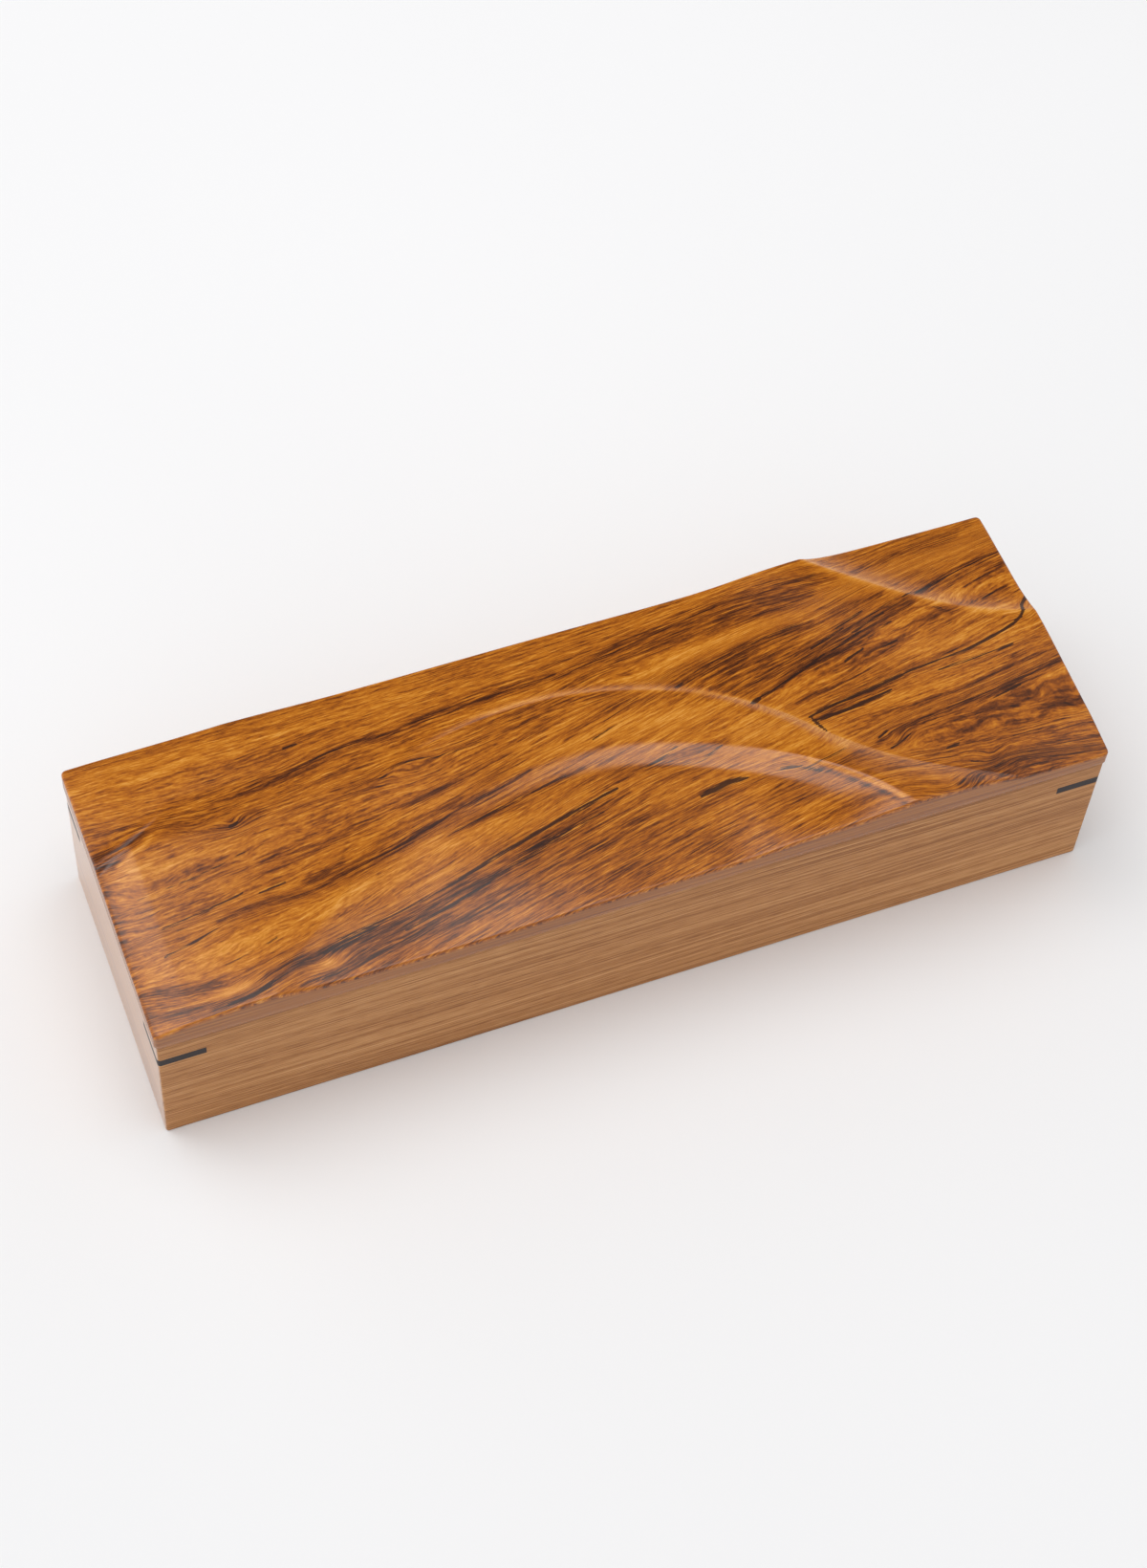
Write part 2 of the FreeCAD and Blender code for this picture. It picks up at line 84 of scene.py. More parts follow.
# Board and tongue of the lid, in mm
WALL = 8.0
LID_OVERHANG = 0.5
LID_CORNER = 1.6
LID_EASING = 0.6          # rounding round the carved face
TONGUE_CLEARANCE = 0.4
TONGUE_INSET = LID_OVERHANG + WALL + TONGUE_CLEARANCE
TONGUE_CORNER = 1.5
TONGUE_ROUND = 0.5        # lower edge of the tongue
ROOT_BEVEL = 0.3          # where the tongue meets the board
UNDER_ROUND = 0.3         # lower edge of the board
ROUND_MIDDLE = 0.3        # how far in the middle of a round lies, as a share of its radius

# Mesh of the lid
LID_STEP = 0.58                                # spacing of the carved face's grid, in mm
EASING_SHARES = (0.0, 0.12, 0.3, 0.6, 1.0)     # grid lines on the rounding round it
SIDE_SHARES = (0.25, 0.5, 0.75, 1.0)           # rings down the side of the board
LINE_PIECES = 10                               # pieces between two points of a drawn curve
SHARP_ANGLE = 40.0                             # edges with a larger angle stay crisp

# Ground of the relief, in mm above the rim
RELIEF_GROUND = 6.7       # height of the carved face at the long edges
RELIEF_CROWN = 1.9        # how much higher it is along the middle
CROWN_REACH = 50.0        # from the middle to where the crown has run out

# Heights of the relief's features, in mm
OUTER_STEP = 1.4          # the outer wave along the back
OUTER_FLANK_ADDS = 0.3    # more on its flank
OUTER_FOOT_ADDS = 2.4     # and more towards the front edge
INNER_DROP = 0.6          # the inner wave where it starts
INNER_MIDDLE_ADDS = 1.5   # more along its middle
INNER_COVE_ADDS = 0.9     # and more in the cove at the right
LIP_STEP = 0.9            # step just inside the crest of the cove
LIP_SWELL = 0.25          # swelling of that crest
CORNER_RISE = 3.5         # crest of the corner scoop at the back edge
CORNER_LOSS = 1.7         # how much less it is at the right end
BAY_STEP = 1.4            # short steep side of the bay's crest, at the left end
BAY_RISE = 0.7            # the rest of that crest
BAY_BACK_ADDS = 0.6       # more towards the back edge
FRONT_RISE = 3.5          # crest of the hump in the front edge
RIGHT_FALL = 0.8          # how much the right end lies lower
RIGHT_BACK_SHARE = 0.6    # share of that which the back corner is spared
RIGHT_FRONT_FALL = 1.1    # how much lower still the front corner lies
LEFT_ROLL = 0.35          # how much the left end rolls down behind the bay's crest
LEFT_ROLL_ADDS = 2.1      # more in front of it
LEFT_ROLL_LOSS = 0.9      # less towards the front edge

# How far the sides of the crests reach, in mm, each with the power of its curve
OUTER_SIDE = (2.8, 1.2)
COVE_SIDE = (11.0, 1.25)
LIP_SIDE = (1.0, 1.0)
LIP_BREADTH = 3.0
INNER_STEP_SPAN = (-0.4, 8.1)
OUTER_SHOULDER = 6.0      # width of the rounded shoulder on the flank
SHOULDER_ADDS = 12.0      # how much wider it is at the front edge
SHOULDER_POWER = 2.3
CORNER_STEEP_SIDE = (5.0, 1.0)
CORNER_LONG_SIDE = (21.0, 1.9)
BAY_STEEP_SIDE = (2.0, 1.0)
BAY_GENTLE_SIDE = (18.0, 1.0)
BAY_LONG_SIDE = (24.0, 1.8)
FRONT_STEEP_SIDE = (9.0, 1.3)
FRONT_LONG_SIDE = (27.0, 2.0)
LEFT_ROLL_LENGTH = 12.0
LEFT_ROLL_POWER = 1.5

# Where features grow in: from the first x or y to the second
OUTER_GROWS_X = (-75.0, -30.0)
FLANK_X = (25.0, 60.0)
OUTER_FOOT_Y = (-8.0, -50.0)
SHOULDER_Y = (-10.0, -48.0)
INNER_GROWS_X = (-58.0, -24.0)
INNER_MIDDLE_X = (-40.0, 40.0)
COVE_X = (38.0, 72.0)
LIP_Y = (-47.0, -35.0)
CORNER_X = (84.0, 150.0)
BAY_STEP_Y = (27.0, 11.0)
BAY_BACK_Y = (11.0, 41.0)
BAY_SIDE_SPAN = (1.0, -1.0)
FRONT_Y = (4.0, -50.0)
RIGHT_X = (105.0, 145.0)
RIGHT_BACK_Y = (30.0, 46.0)
RIGHT_FRONT_X = (115.0, 150.0)
RIGHT_FRONT_Y = (-31.0, -49.0)
LEFT_ROLL_X = -138.5
LEFT_FRONT_Y = (-14.0, -44.0)

# Broad swellings and hollows: middle x and y, reach along x and y, height
SWELLS = ((-46, -58, 24, 20, -1.6), (-5, 54, 50, 14, 0.6), (150, 18, 26, 11, -0.6))

# Crest lines of the relief, from left to right or from the middle outwards, in mm
BAY_CREST = ((-160, 5), (-150, 9), (-138, 15), (-127, 22), (-116, 32), (-104, 44), (-98, 52))
CORNER_CREST = ((82, 54), (90, 45.5), (100, 36), (111, 26.5), (124, 17.5), (137, 11),
                (150, 6.5), (160, 4.5))
OUTER_WAVE = ((-84, -4), (-72, 8), (-58, 15.5), (-40, 20.5), (-22, 23.2), (-4, 23.2),
              (12, 20.4), (30, 14.4), (47, 6.8), (60, -3), (72, -16), (84, -26.5), (96, -34.5),
              (110, -42), (124, -49))
INNER_WAVE = ((-62, -9), (-44, -3), (-26, 1), (-8, 2.5), (10, 0.8), (26, -4), (42, -11),
              (57, -20), (70, -30), (80, -40), (88, -51))
FRONT_CREST = ((-58, 2), (-68, -6), (-78, -15.5), (-90, -25), (-101, -34), (-111, -43),
               (-118, -52))


# Relief of the lid

def grown(value, span):
    """0 before the span, 1 past it, with level ends."""
    start, end = span
    share = np.clip((value - start) / (end - start), 0.0, 1.0)
    return share * share * (3 - 2 * share)


def fall(distance, side):
    """1 up to a crest, then down to 0 over about the reach of its side."""
    reach, power = side
    return np.exp(-(np.maximum(distance, 0) / reach) ** power)


def swell(x, y, middle_x, middle_y, reach_x, reach_y):
    """A round swelling of height 1."""
    return np.exp(-((x - middle_x) / reach_x) ** 2 - ((y - middle_y) / reach_y) ** 2)


def smooth_line(points):
    """A finely divided curve through the points."""
    line = np.array(points, float)
    line = np.vstack([2 * line[0] - line[1], line, 2 * line[-1] - line[-2]])
    share = np.linspace(0, 1, LINE_PIECES, endpoint=False)[:, None]
    spans = []
    for before, start, end, after in zip(line[:-3], line[1:-2], line[2:-1], line[3:]):
        rate = end - before
        bend = 2 * before - 5 * start + 4 * end - after
        twist = 3 * start - before - 3 * end + after
        spans.append(0.5 * (2 * start + rate * share + bend * share ** 2 + twist * share ** 3))
    return np.vstack(spans + [line[-2:-1]])


def distance_to_line(points, x, y):
    """Signed distance to a curve, positive on the left of its direction, and the share along it."""
    line = smooth_line(points)
    nearest = np.full(x.shape, np.inf)
    side = np.ones(x.shape)
    along = np.zeros(x.shape)
    for number, (start, end) in enumerate(zip(line[:-1], line[1:])):
        run_x, run_y = end - start
        off_x = x - start[0]
        off_y = y - start[1]
        share = np.clip((off_x * run_x + off_y * run_y) / (run_x ** 2 + run_y ** 2), 0, 1)
        gap_x = off_x - share * run_x
        gap_y = off_y - share * run_y
        gap = gap_x ** 2 + gap_y ** 2
        closer = gap < nearest
        nearest = np.where(closer, gap, nearest)
        side = np.where(closer, np.sign(run_x * gap_y - run_y * gap_x), side)
        along = np.where(closer, number + share, along)
    return side * np.sqrt(nearest), along / (len(line) - 1)


def ground(x, y):
    """The broad shape of the carved face, under the waves."""
    z = RELIEF_GROUND + RELIEF_CROWN * (1 - np.minimum(1.0, (y / CROWN_REACH) ** 2))
    for middle_x, middle_y, reach_x, reach_y, height in SWELLS:
        z += height * swell(x, y, middle_x, middle_y, reach_x, reach_y)
    z -= RIGHT_FALL * grown(x, RIGHT_X) * (1 - RIGHT_BACK_SHARE * grown(y, RIGHT_BACK_Y))
    return z - RIGHT_FRONT_FALL * grown(x, RIGHT_FRONT_X) * grown(y, RIGHT_FRONT_Y)


def outer_wave(x, y):
    """A crisp step along the back, and a rounded shoulder with a creased foot on the flank."""
    outer, _ = distance_to_line(OUTER_WAVE, x, y)
    flank = grown(x, FLANK_X)
    rise = OUTER_STEP + (OUTER_FLANK_ADDS + OUTER_FOOT_ADDS * grown(y, OUTER_FOOT_Y)) * flank
    width = OUTER_SHOULDER + SHOULDER_ADDS * grown(y, SHOULDER_Y)
    rounded = 1 - (1 - np.clip(-outer / width, 0, 1)) ** SHOULDER_POWER
    shape = (1 - flank) * fall(outer, OUTER_SIDE) + flank * rounded
    return rise * grown(x, OUTER_GROWS_X) * shape


def inner_wave(x, y):
    """A soft step down that turns into a cove with a lip to the right."""
    inner, _ = distance_to_line(INNER_WAVE, x, y)
    cove = grown(x, COVE_X)
    lip = cove * grown(y, LIP_Y)
    drop = INNER_DROP + INNER_MIDDLE_ADDS * grown(x, INNER_MIDDLE_X) + INNER_COVE_ADDS * cove
    drop *= grown(x, INNER_GROWS_X)
    z = -drop * ((1 - cove) * grown(-inner, INNER_STEP_SPAN)
                 + cove * (1 - fall(-inner, COVE_SIDE)))
    z -= LIP_STEP * lip * (1 - fall(-inner, LIP_SIDE))
    return z + LIP_SWELL * lip * np.exp(-(inner / LIP_BREADTH) ** 2)


def corner_scoop(x, y):
    """The crest between the lid's back and the scoop in its back right corner."""
    corner, _ = distance_to_line(CORNER_CREST, x, y)
    rise = CORNER_RISE - CORNER_LOSS * grown(x, CORNER_X)
    return rise * fall(corner, CORNER_STEEP_SIDE) * fall(-corner, CORNER_LONG_SIDE)


def front_hump(x, y):
    """The crest that ends in the hump of the front edge."""
    front, _ = distance_to_line(FRONT_CREST, x, y)
    return (FRONT_RISE * grown(y, FRONT_Y) * fall(front, FRONT_STEEP_SIDE)
            * fall(-front, FRONT_LONG_SIDE))


def left_end(x, y):
    """The crest round the bay at the left, and the roll down to the edge in front of it."""
    edge, _ = distance_to_line(BAY_CREST, x, y)
    steep = BAY_STEP * grown(y, BAY_STEP_Y)
    gentle = BAY_RISE + BAY_BACK_ADDS * grown(y, BAY_BACK_Y)
    outside = steep * fall(edge, BAY_STEEP_SIDE) + gentle * fall(edge, BAY_GENTLE_SIDE)
    ahead = grown(edge, BAY_SIDE_SPAN)
    roll = LEFT_ROLL + ahead * (LEFT_ROLL_ADDS - LEFT_ROLL_LOSS * grown(y, LEFT_FRONT_Y))
    past = np.maximum(0, LEFT_ROLL_X - x) / LEFT_ROLL_LENGTH
    return outside * fall(-edge, BAY_LONG_SIDE) - roll * past ** LEFT_ROLL_POWER


def relief(x, y):
    """Height of the carved face above the rim, in mm."""
    z = ground(x, y) + outer_wave(x, y) + inner_wave(x, y) + corner_scoop(x, y)
    return z + front_hump(x, y) + left_end(x, y)


# Mesh of the lid

def edge_lines(half):
    """Grid lines across the lid: close together on the eased edge, even between."""
    edge = LID_EASING * np.array(EASING_SHARES)
    count = int(round(2 * (half - LID_EASING) / LID_STEP))
    inner = np.linspace(-half + LID_EASING, half - LID_EASING, count + 1)
    return np.concatenate([-half + edge[:-1], inner, half - edge[-2::-1]])


def rounded_plan(x, y, half_x, half_y, radius):
    """Bends the corners of a grid round, and gives each point's distance from the outline."""
    over_x = np.abs(x) - (half_x - radius)
    over_y = np.abs(y) - (half_y - radius)
    corner = (over_x > 0) & (over_y > 0)
    far = np.maximum(over_x, over_y)
    safe_x = np.where(corner, over_x, 1.0)
    safe_y = np.where(corner, over_y, 1.0)
    turn = np.where(over_x >= over_y, math.pi / 4 * safe_y / safe_x,
                    math.pi / 2 - math.pi / 4 * safe_x / safe_y)
    new_x = np.where(corner, np.sign(x) * (half_x - radius + far * np.cos(turn)), x)
    new_y = np.where(corner, np.sign(y) * (half_y - radius + far * np.sin(turn)), y)
    gap = np.where(corner, radius - far, np.minimum(half_x - np.abs(x), half_y - np.abs(y)))
    return new_x, new_y, gap


def ring(square_x, square_y, inset, radius, level):
    """The lid's outline drawn in by the inset, at one height or at one for each point."""
    half_x = LID_HALF_LENGTH - inset
    half_y = LID_HALF_WIDTH - inset
    share_x = half_x / LID_HALF_LENGTH
    share_y = half_y / LID_HALF_WIDTH
    x, y, _ = rounded_plan(square_x * share_x, square_y * share_y, half_x, half_y, radius)
    return np.stack([x, y, np.broadcast_to(level, x.shape)], 1)


def side_rings(square_x, square_y, top):
    """Rings from the edge of the carved face down to the underside of the tongue."""
    low = RIM / MM
    tongue_low = LID_LOW.z / MM
    under = ROUND_MIDDLE * UNDER_ROUND
    below = ROUND_MIDDLE * TONGUE_ROUND
    profile = [(0.0, LID_CORNER, top * (1 - share) + (low + UNDER_ROUND) * share)
               for share in SIDE_SHARES]
    profile.append((under, LID_CORNER, low + under))
    profile.append((UNDER_ROUND, LID_CORNER, low))
    profile.append((TONGUE_INSET - ROOT_BEVEL, TONGUE_CORNER, low))
    profile.append((TONGUE_INSET, TONGUE_CORNER, low - ROOT_BEVEL))
    profile.append((TONGUE_INSET, TONGUE_CORNER, tongue_low + TONGUE_ROUND))
    profile.append((TONGUE_INSET + below, TONGUE_CORNER, tongue_low + below))
    profile.append((TONGUE_INSET + TONGUE_ROUND, TONGUE_CORNER, tongue_low))
    return [ring(square_x, square_y, *step) for step in profile]


def new_object(name, points, faces):
    mesh = bpy.data.meshes.new(name)
    mesh.from_pydata([tuple(point) for point in points], [], faces)
    mesh.update()
    piece = bpy.data.objects.new(name, mesh)
    bpy.context.scene.collection.objects.link(piece)
    mesh.polygons.foreach_set("use_smooth", [True] * len(mesh.polygons))
    return piece


def set_attribute(piece, name, values):
    layer = piece.data.attributes.new(name, "FLOAT", "POINT")
    layer.data.foreach_set("value", np.asarray(values, np.float32))


def make_lid():
    """The carved board with its eased edges and the tongue below."""
    grid_x, grid_y = np.meshgrid(edge_lines(LID_HALF_LENGTH), edge_lines(LID_HALF_WIDTH),
                                 indexing="ij")
    x, y, gap = rounded_plan(grid_x, grid_y, LID_HALF_LENGTH, LID_HALF_WIDTH, LID_CORNER)
    height = np.minimum(relief(x, y), LID_TOP)
    inside = LID_EASING - np.clip(gap, 0, LID_EASING)
    z = height - LID_EASING + np.sqrt(LID_EASING ** 2 - inside ** 2) + RIM / MM
    face = np.stack([x.ravel(), y.ravel(), z.ravel()], 1)

    index = np.arange(x.size).reshape(x.shape)
    quads = np.stack([index[:-1, :-1], index[1:, :-1], index[1:, 1:], index[:-1, 1:]], -1)
    faces = quads.reshape(-1, 4).tolist()
    border = np.concatenate([index[:-1, 0], index[-1, :-1], index[:0:-1, -1], index[0, :0:-1]])
    rings = side_rings(grid_x.ravel()[border], grid_y.ravel()[border], face[border, 2])
    count = len(border)
    previous = border
    for number in range(len(rings)):
        current = x.size + number * count + np.arange(count)
        quads = np.stack([previous, current, np.roll(current, -1), np.roll(previous, -1)], -1)
        faces += quads.tolist()
        previous = current
    faces.append(previous[::-1].tolist())

    piece = new_object("carved_lid", np.vstack([face] + rings) * MM, faces)
    for name, layer in grain_figure(x, y, height).items():
        values = layer.ravel()
        set_attribute(piece, name, np.concatenate([values] + [values[border]] * len(rings)))
    set_attribute(piece, "side", np.repeat([0.0, 1.0], [x.size, count * len(rings)]))
    piece.data.set_sharp_from_angle(angle=math.radians(SHARP_ANGLE))
    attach(piece, "lid")
    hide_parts("lid")
    return piece


# Figure of the lid's wood, in mm

# Slope of the grain at places of the lid: x, y, slope
GRAIN_SLOPES = (
    (-150, 45, 0.02), (-100, 45, 0.0), (-50, 45, 0.02), (0, 42, 0.04), (50, 42, 0.1),
    (90, 44, 0.03), (130, 42, 0.12), (-140, 22, -0.06), (-115, 22, 0.02), (-80, 25, 0.12),
    (-40, 28, 0.08), (0, 30, 0.1), (40, 30, 0.16), (80, 28, 0.2), (105, 24, 0.3),
    (130, 27, 0.24), (-130, 5, 0.08), (-100, 5, 0.12), (-60, 10, 0.1), (-20, 12, 0.18),
    (15, 12, 0.24), (45, 18, 0.32), (80, 12, 0.34), (110, 10, 0.28), (-130, -14, 0.1),
    (-95, -14, 0.12), (-60, -8, 0.26), (-20, -2, 0.26), (20, -4, 0.22), (50, 0, 0.26),
    (90, -2, 0.16), (130, 4, 0.16), (-130, -32, 0.22), (-90, -33, 0.34), (-50, -26, 0.36),
    (-10, -18, 0.34), (30, -22, 0.2), (60, -18, 0.22), (100, -14, 0.12), (140, -14, 0.16),
    (-130, -45, 0.3), (-80, -44, 0.3), (-30, -42, 0.26), (20, -42, 0.22), (60, -42, 0.22),
    (100, -34, -0.12), (140, -32, -0.2), (110, -46, -0.3), (145, -46, -0.2),
)
GRAIN_REACH_X = 22.0      # how far such a place counts
GRAIN_REACH_Y = 9.0

# Knots and swirls that the grain bends round: x, y, reach along, reach across, strength
SWIRLS = ((-108, 11.5, 4, 2.2, 1.6), (-52, 13, 12, 4, 1.8), (-120, 15, 7, 3, 1.4),
          (99, -45, 10, 6, 3.0), (115, -40, 5, 5, 2.4),
          (-97, -41.5, 6, 3, 2.2), (-124, -42, 9, 2.6, 1.8), (108, 39, 12, 5, 1.8),
          (88, -24, 5, 3, 1.2), (146, 8, 4, 4, 1.5))

# Soft dark bands along the grain, and a few of painted shade at the left end and under the cove's
# lip: points, half width, darkness
DARK_BANDS_AND_SHADE = (
    (((-150, 21.5), (-138, 21), (-128, 19.6), (-112, 19.4)), 0.8, 0.5),
    (((-112, 21), (-100, 22.5), (-85, 25), (-70, 27.2), (-55, 28.4), (-40, 29.6), (-20, 31.5),
      (0, 32.5)), 1.5, 0.75),
    (((0, 31), (15, 34), (30, 36), (45, 38.5), (60, 40.2), (75, 40.5), (92, 38.5)), 2.4, 0.6),
    (((55, 35), (70, 36), (85, 34)), 3.0, 0.4),
    (((0, 26), (10, 29), (25, 31), (45, 33)), 1.6, 0.4),
    # Painted shade on the bay's steep side, in its crease and on the steep roll of the left edge
    (((-152, 13), (-143, 14.5), (-133, 19)), 2.6, 0.5),
    (((-151, 10), (-144, 9.8), (-140, 11.6)), 0.9, 0.5),
    (((-149.5, -48), (-149.5, -20), (-149.5, 9)), 1.4, 0.5),
    (((-128, 16), (-118, 14), (-108, 12), (-98, 13)), 2.0, 0.35),
    (((-92, -18), (-80, -14.6), (-65, -11.5), (-55, -8.6), (-45, -5.6), (-33, -2.6),
      (-20, 0.5)), 1.7, 0.85),
    (((-122, -18.5), (-108, -17.4), (-92, -18.6)), 1.2, 0.7),
    (((-95, -14), (-86, -12), (-78, -8)), 2.2, 0.45),
    (((-100, -38.5), (-85, -37), (-70, -35), (-55, -32), (-38, -28.5)), 2.4, 0.95),
    (((-118, -43.5), (-106, -40), (-96, -38.5)), 1.8, 0.95),
    (((-132, -46), (-120, -44.5), (-108, -41.5)), 1.3, 0.9),
    (((-106, -46.5), (-90, -43.5), (-72, -40), (-58, -37)), 1.6, 0.65),
    (((-70, -44), (-50, -39), (-30, -34), (-10, -29), (8, -25)), 2.6, 0.35),
    (((-148, -35), (-140, -37), (-126, -39)), 1.8, 0.5),
    (((-150, -42), (-140, -44), (-130, -45)), 1.6, 0.5),
    (((-40, -27), (-25, -23.5), (-8, -19), (6, -15)), 1.3, 0.7),
    (((30, 15.5), (42, 19), (55, 22), (70, 24), (82, 24)), 2.0, 0.6),
    (((36, 12.5), (48, 16), (62, 19), (78, 20.5)), 2.4, 0.4),
    (((46, 7), (58, 10), (70, 12.5), (84, 15.5)), 2.2, 0.4),
    (((72, 11), (86, 15), (100, 18.5), (116, 21.5)), 3.0, 0.55),
    (((80, 20), (92, 23), (106, 26)), 1.8, 0.5),
    (((62, 5), (72, 8), (86, 12), (100, 14.5)), 1.6, 0.7),
    (((86, 4.5), (96, 6.5), (108, 8.5)), 1.6, 0.55),
    (((66, -2), (80, 0.5), (92, 3.5)), 1.0, 0.4),
    (((110, 23), (120, 25), (130, 28), (140, 30.5), (151, 32)), 1.4, 0.95),
    (((134, 22.6), (142, 24.8), (151, 27)), 1.0, 0.7),
    (((118, 17), (126, 15.6), (136, 16.6), (147, 18.6)), 1.0, 0.6),
    (((100, 37), (110, 39.6), (122, 41.6), (140, 42)), 1.4, 0.55),
    (((68, -8.4), (76, -7.4), (86, -6.6), (96, -5)), 1.3, 0.45),
    (((78, -14), (95, -13), (115, -12.5), (135, -10), (150, -8)), 1.2, 0.35),
    (((84, -23), (94, -20.4), (108, -19.2), (124, -17.6), (138, -15), (150, -12.6)), 1.2, 0.7),
    (((112, -23.4), (124, -24.4), (136, -26), (150, -29)), 1.3, 0.35),
    (((96, -32), (110, -33.6), (126, -34), (142, -32.6)), 1.4, 0.45),
    (((100, -46.5), (110, -43), (122, -41.6), (134, -43.4), (150, -45)), 2.0, 0.6),
    # Painted shade: a thin dark line in the groove just inside the lit crest of the cove's lip
    (((63, -26.4), (69.5, -32.6), (76, -39.2), (81.6, -46.6)), 0.5, 0.9),
    (((-50, -12.4), (-35, -9.6), (-20, -6), (-4, -3)), 0.9, 0.6),
    (((0, -12), (14, -9), (30, -9.5), (40, -8.5)), 1.4, 0.5),
    (((-6, 7.5), (8, 11.5), (20, 15)), 1.2, 0.5),
    (((-22, 17.5), (-8, 19.5), (8, 21), (20, 20)), 1.8, 0.5),
    (((-84, 9), (-70, 9.6), (-60, 12)), 1.6, 0.3),
    (((-104, -3), (-86, -1), (-68, 1.4)), 3.0, 0.3),
    (((-60, 1), (-45, 3.5), (-28, 8), (-10, 13)), 1.0, 0.4),
)

# Painted highlights: pale strokes along the carved crests and edges, where light catches them:
# points, half width, strength
PAINTED_HIGHLIGHTS = (
    (((-30, 25.2), (-14, 25.2), (0, 23.8), (14, 20.8), (28, 16), (40, 11), (49, 5.6)), 1.0, 0.6),
    (((49, 5.6), (58, -1), (66, -9.4), (74, -18.4), (82, -25.6), (92, -32.6)), 1.1, 0.5),
    (((86, 50), (92, 43.6), (101, 35), (111, 26.6), (124, 17.4), (137, 10.4), (148, 6.6)), 1.2, 0.7),
    (((61, -23.4), (68, -29.6), (75, -36.4), (82, -44.6)), 0.5, 0.9),
    (((-132, 15), (-137, 11.6), (-144, 8.2)), 0.8, 0.8),
    (((-143, 6.6), (-138, 6), (-130, 7.6)), 1.4, 0.5),
    (((-95, -28), (-85, -23), (-75, -19)), 1.0, 0.6),
)

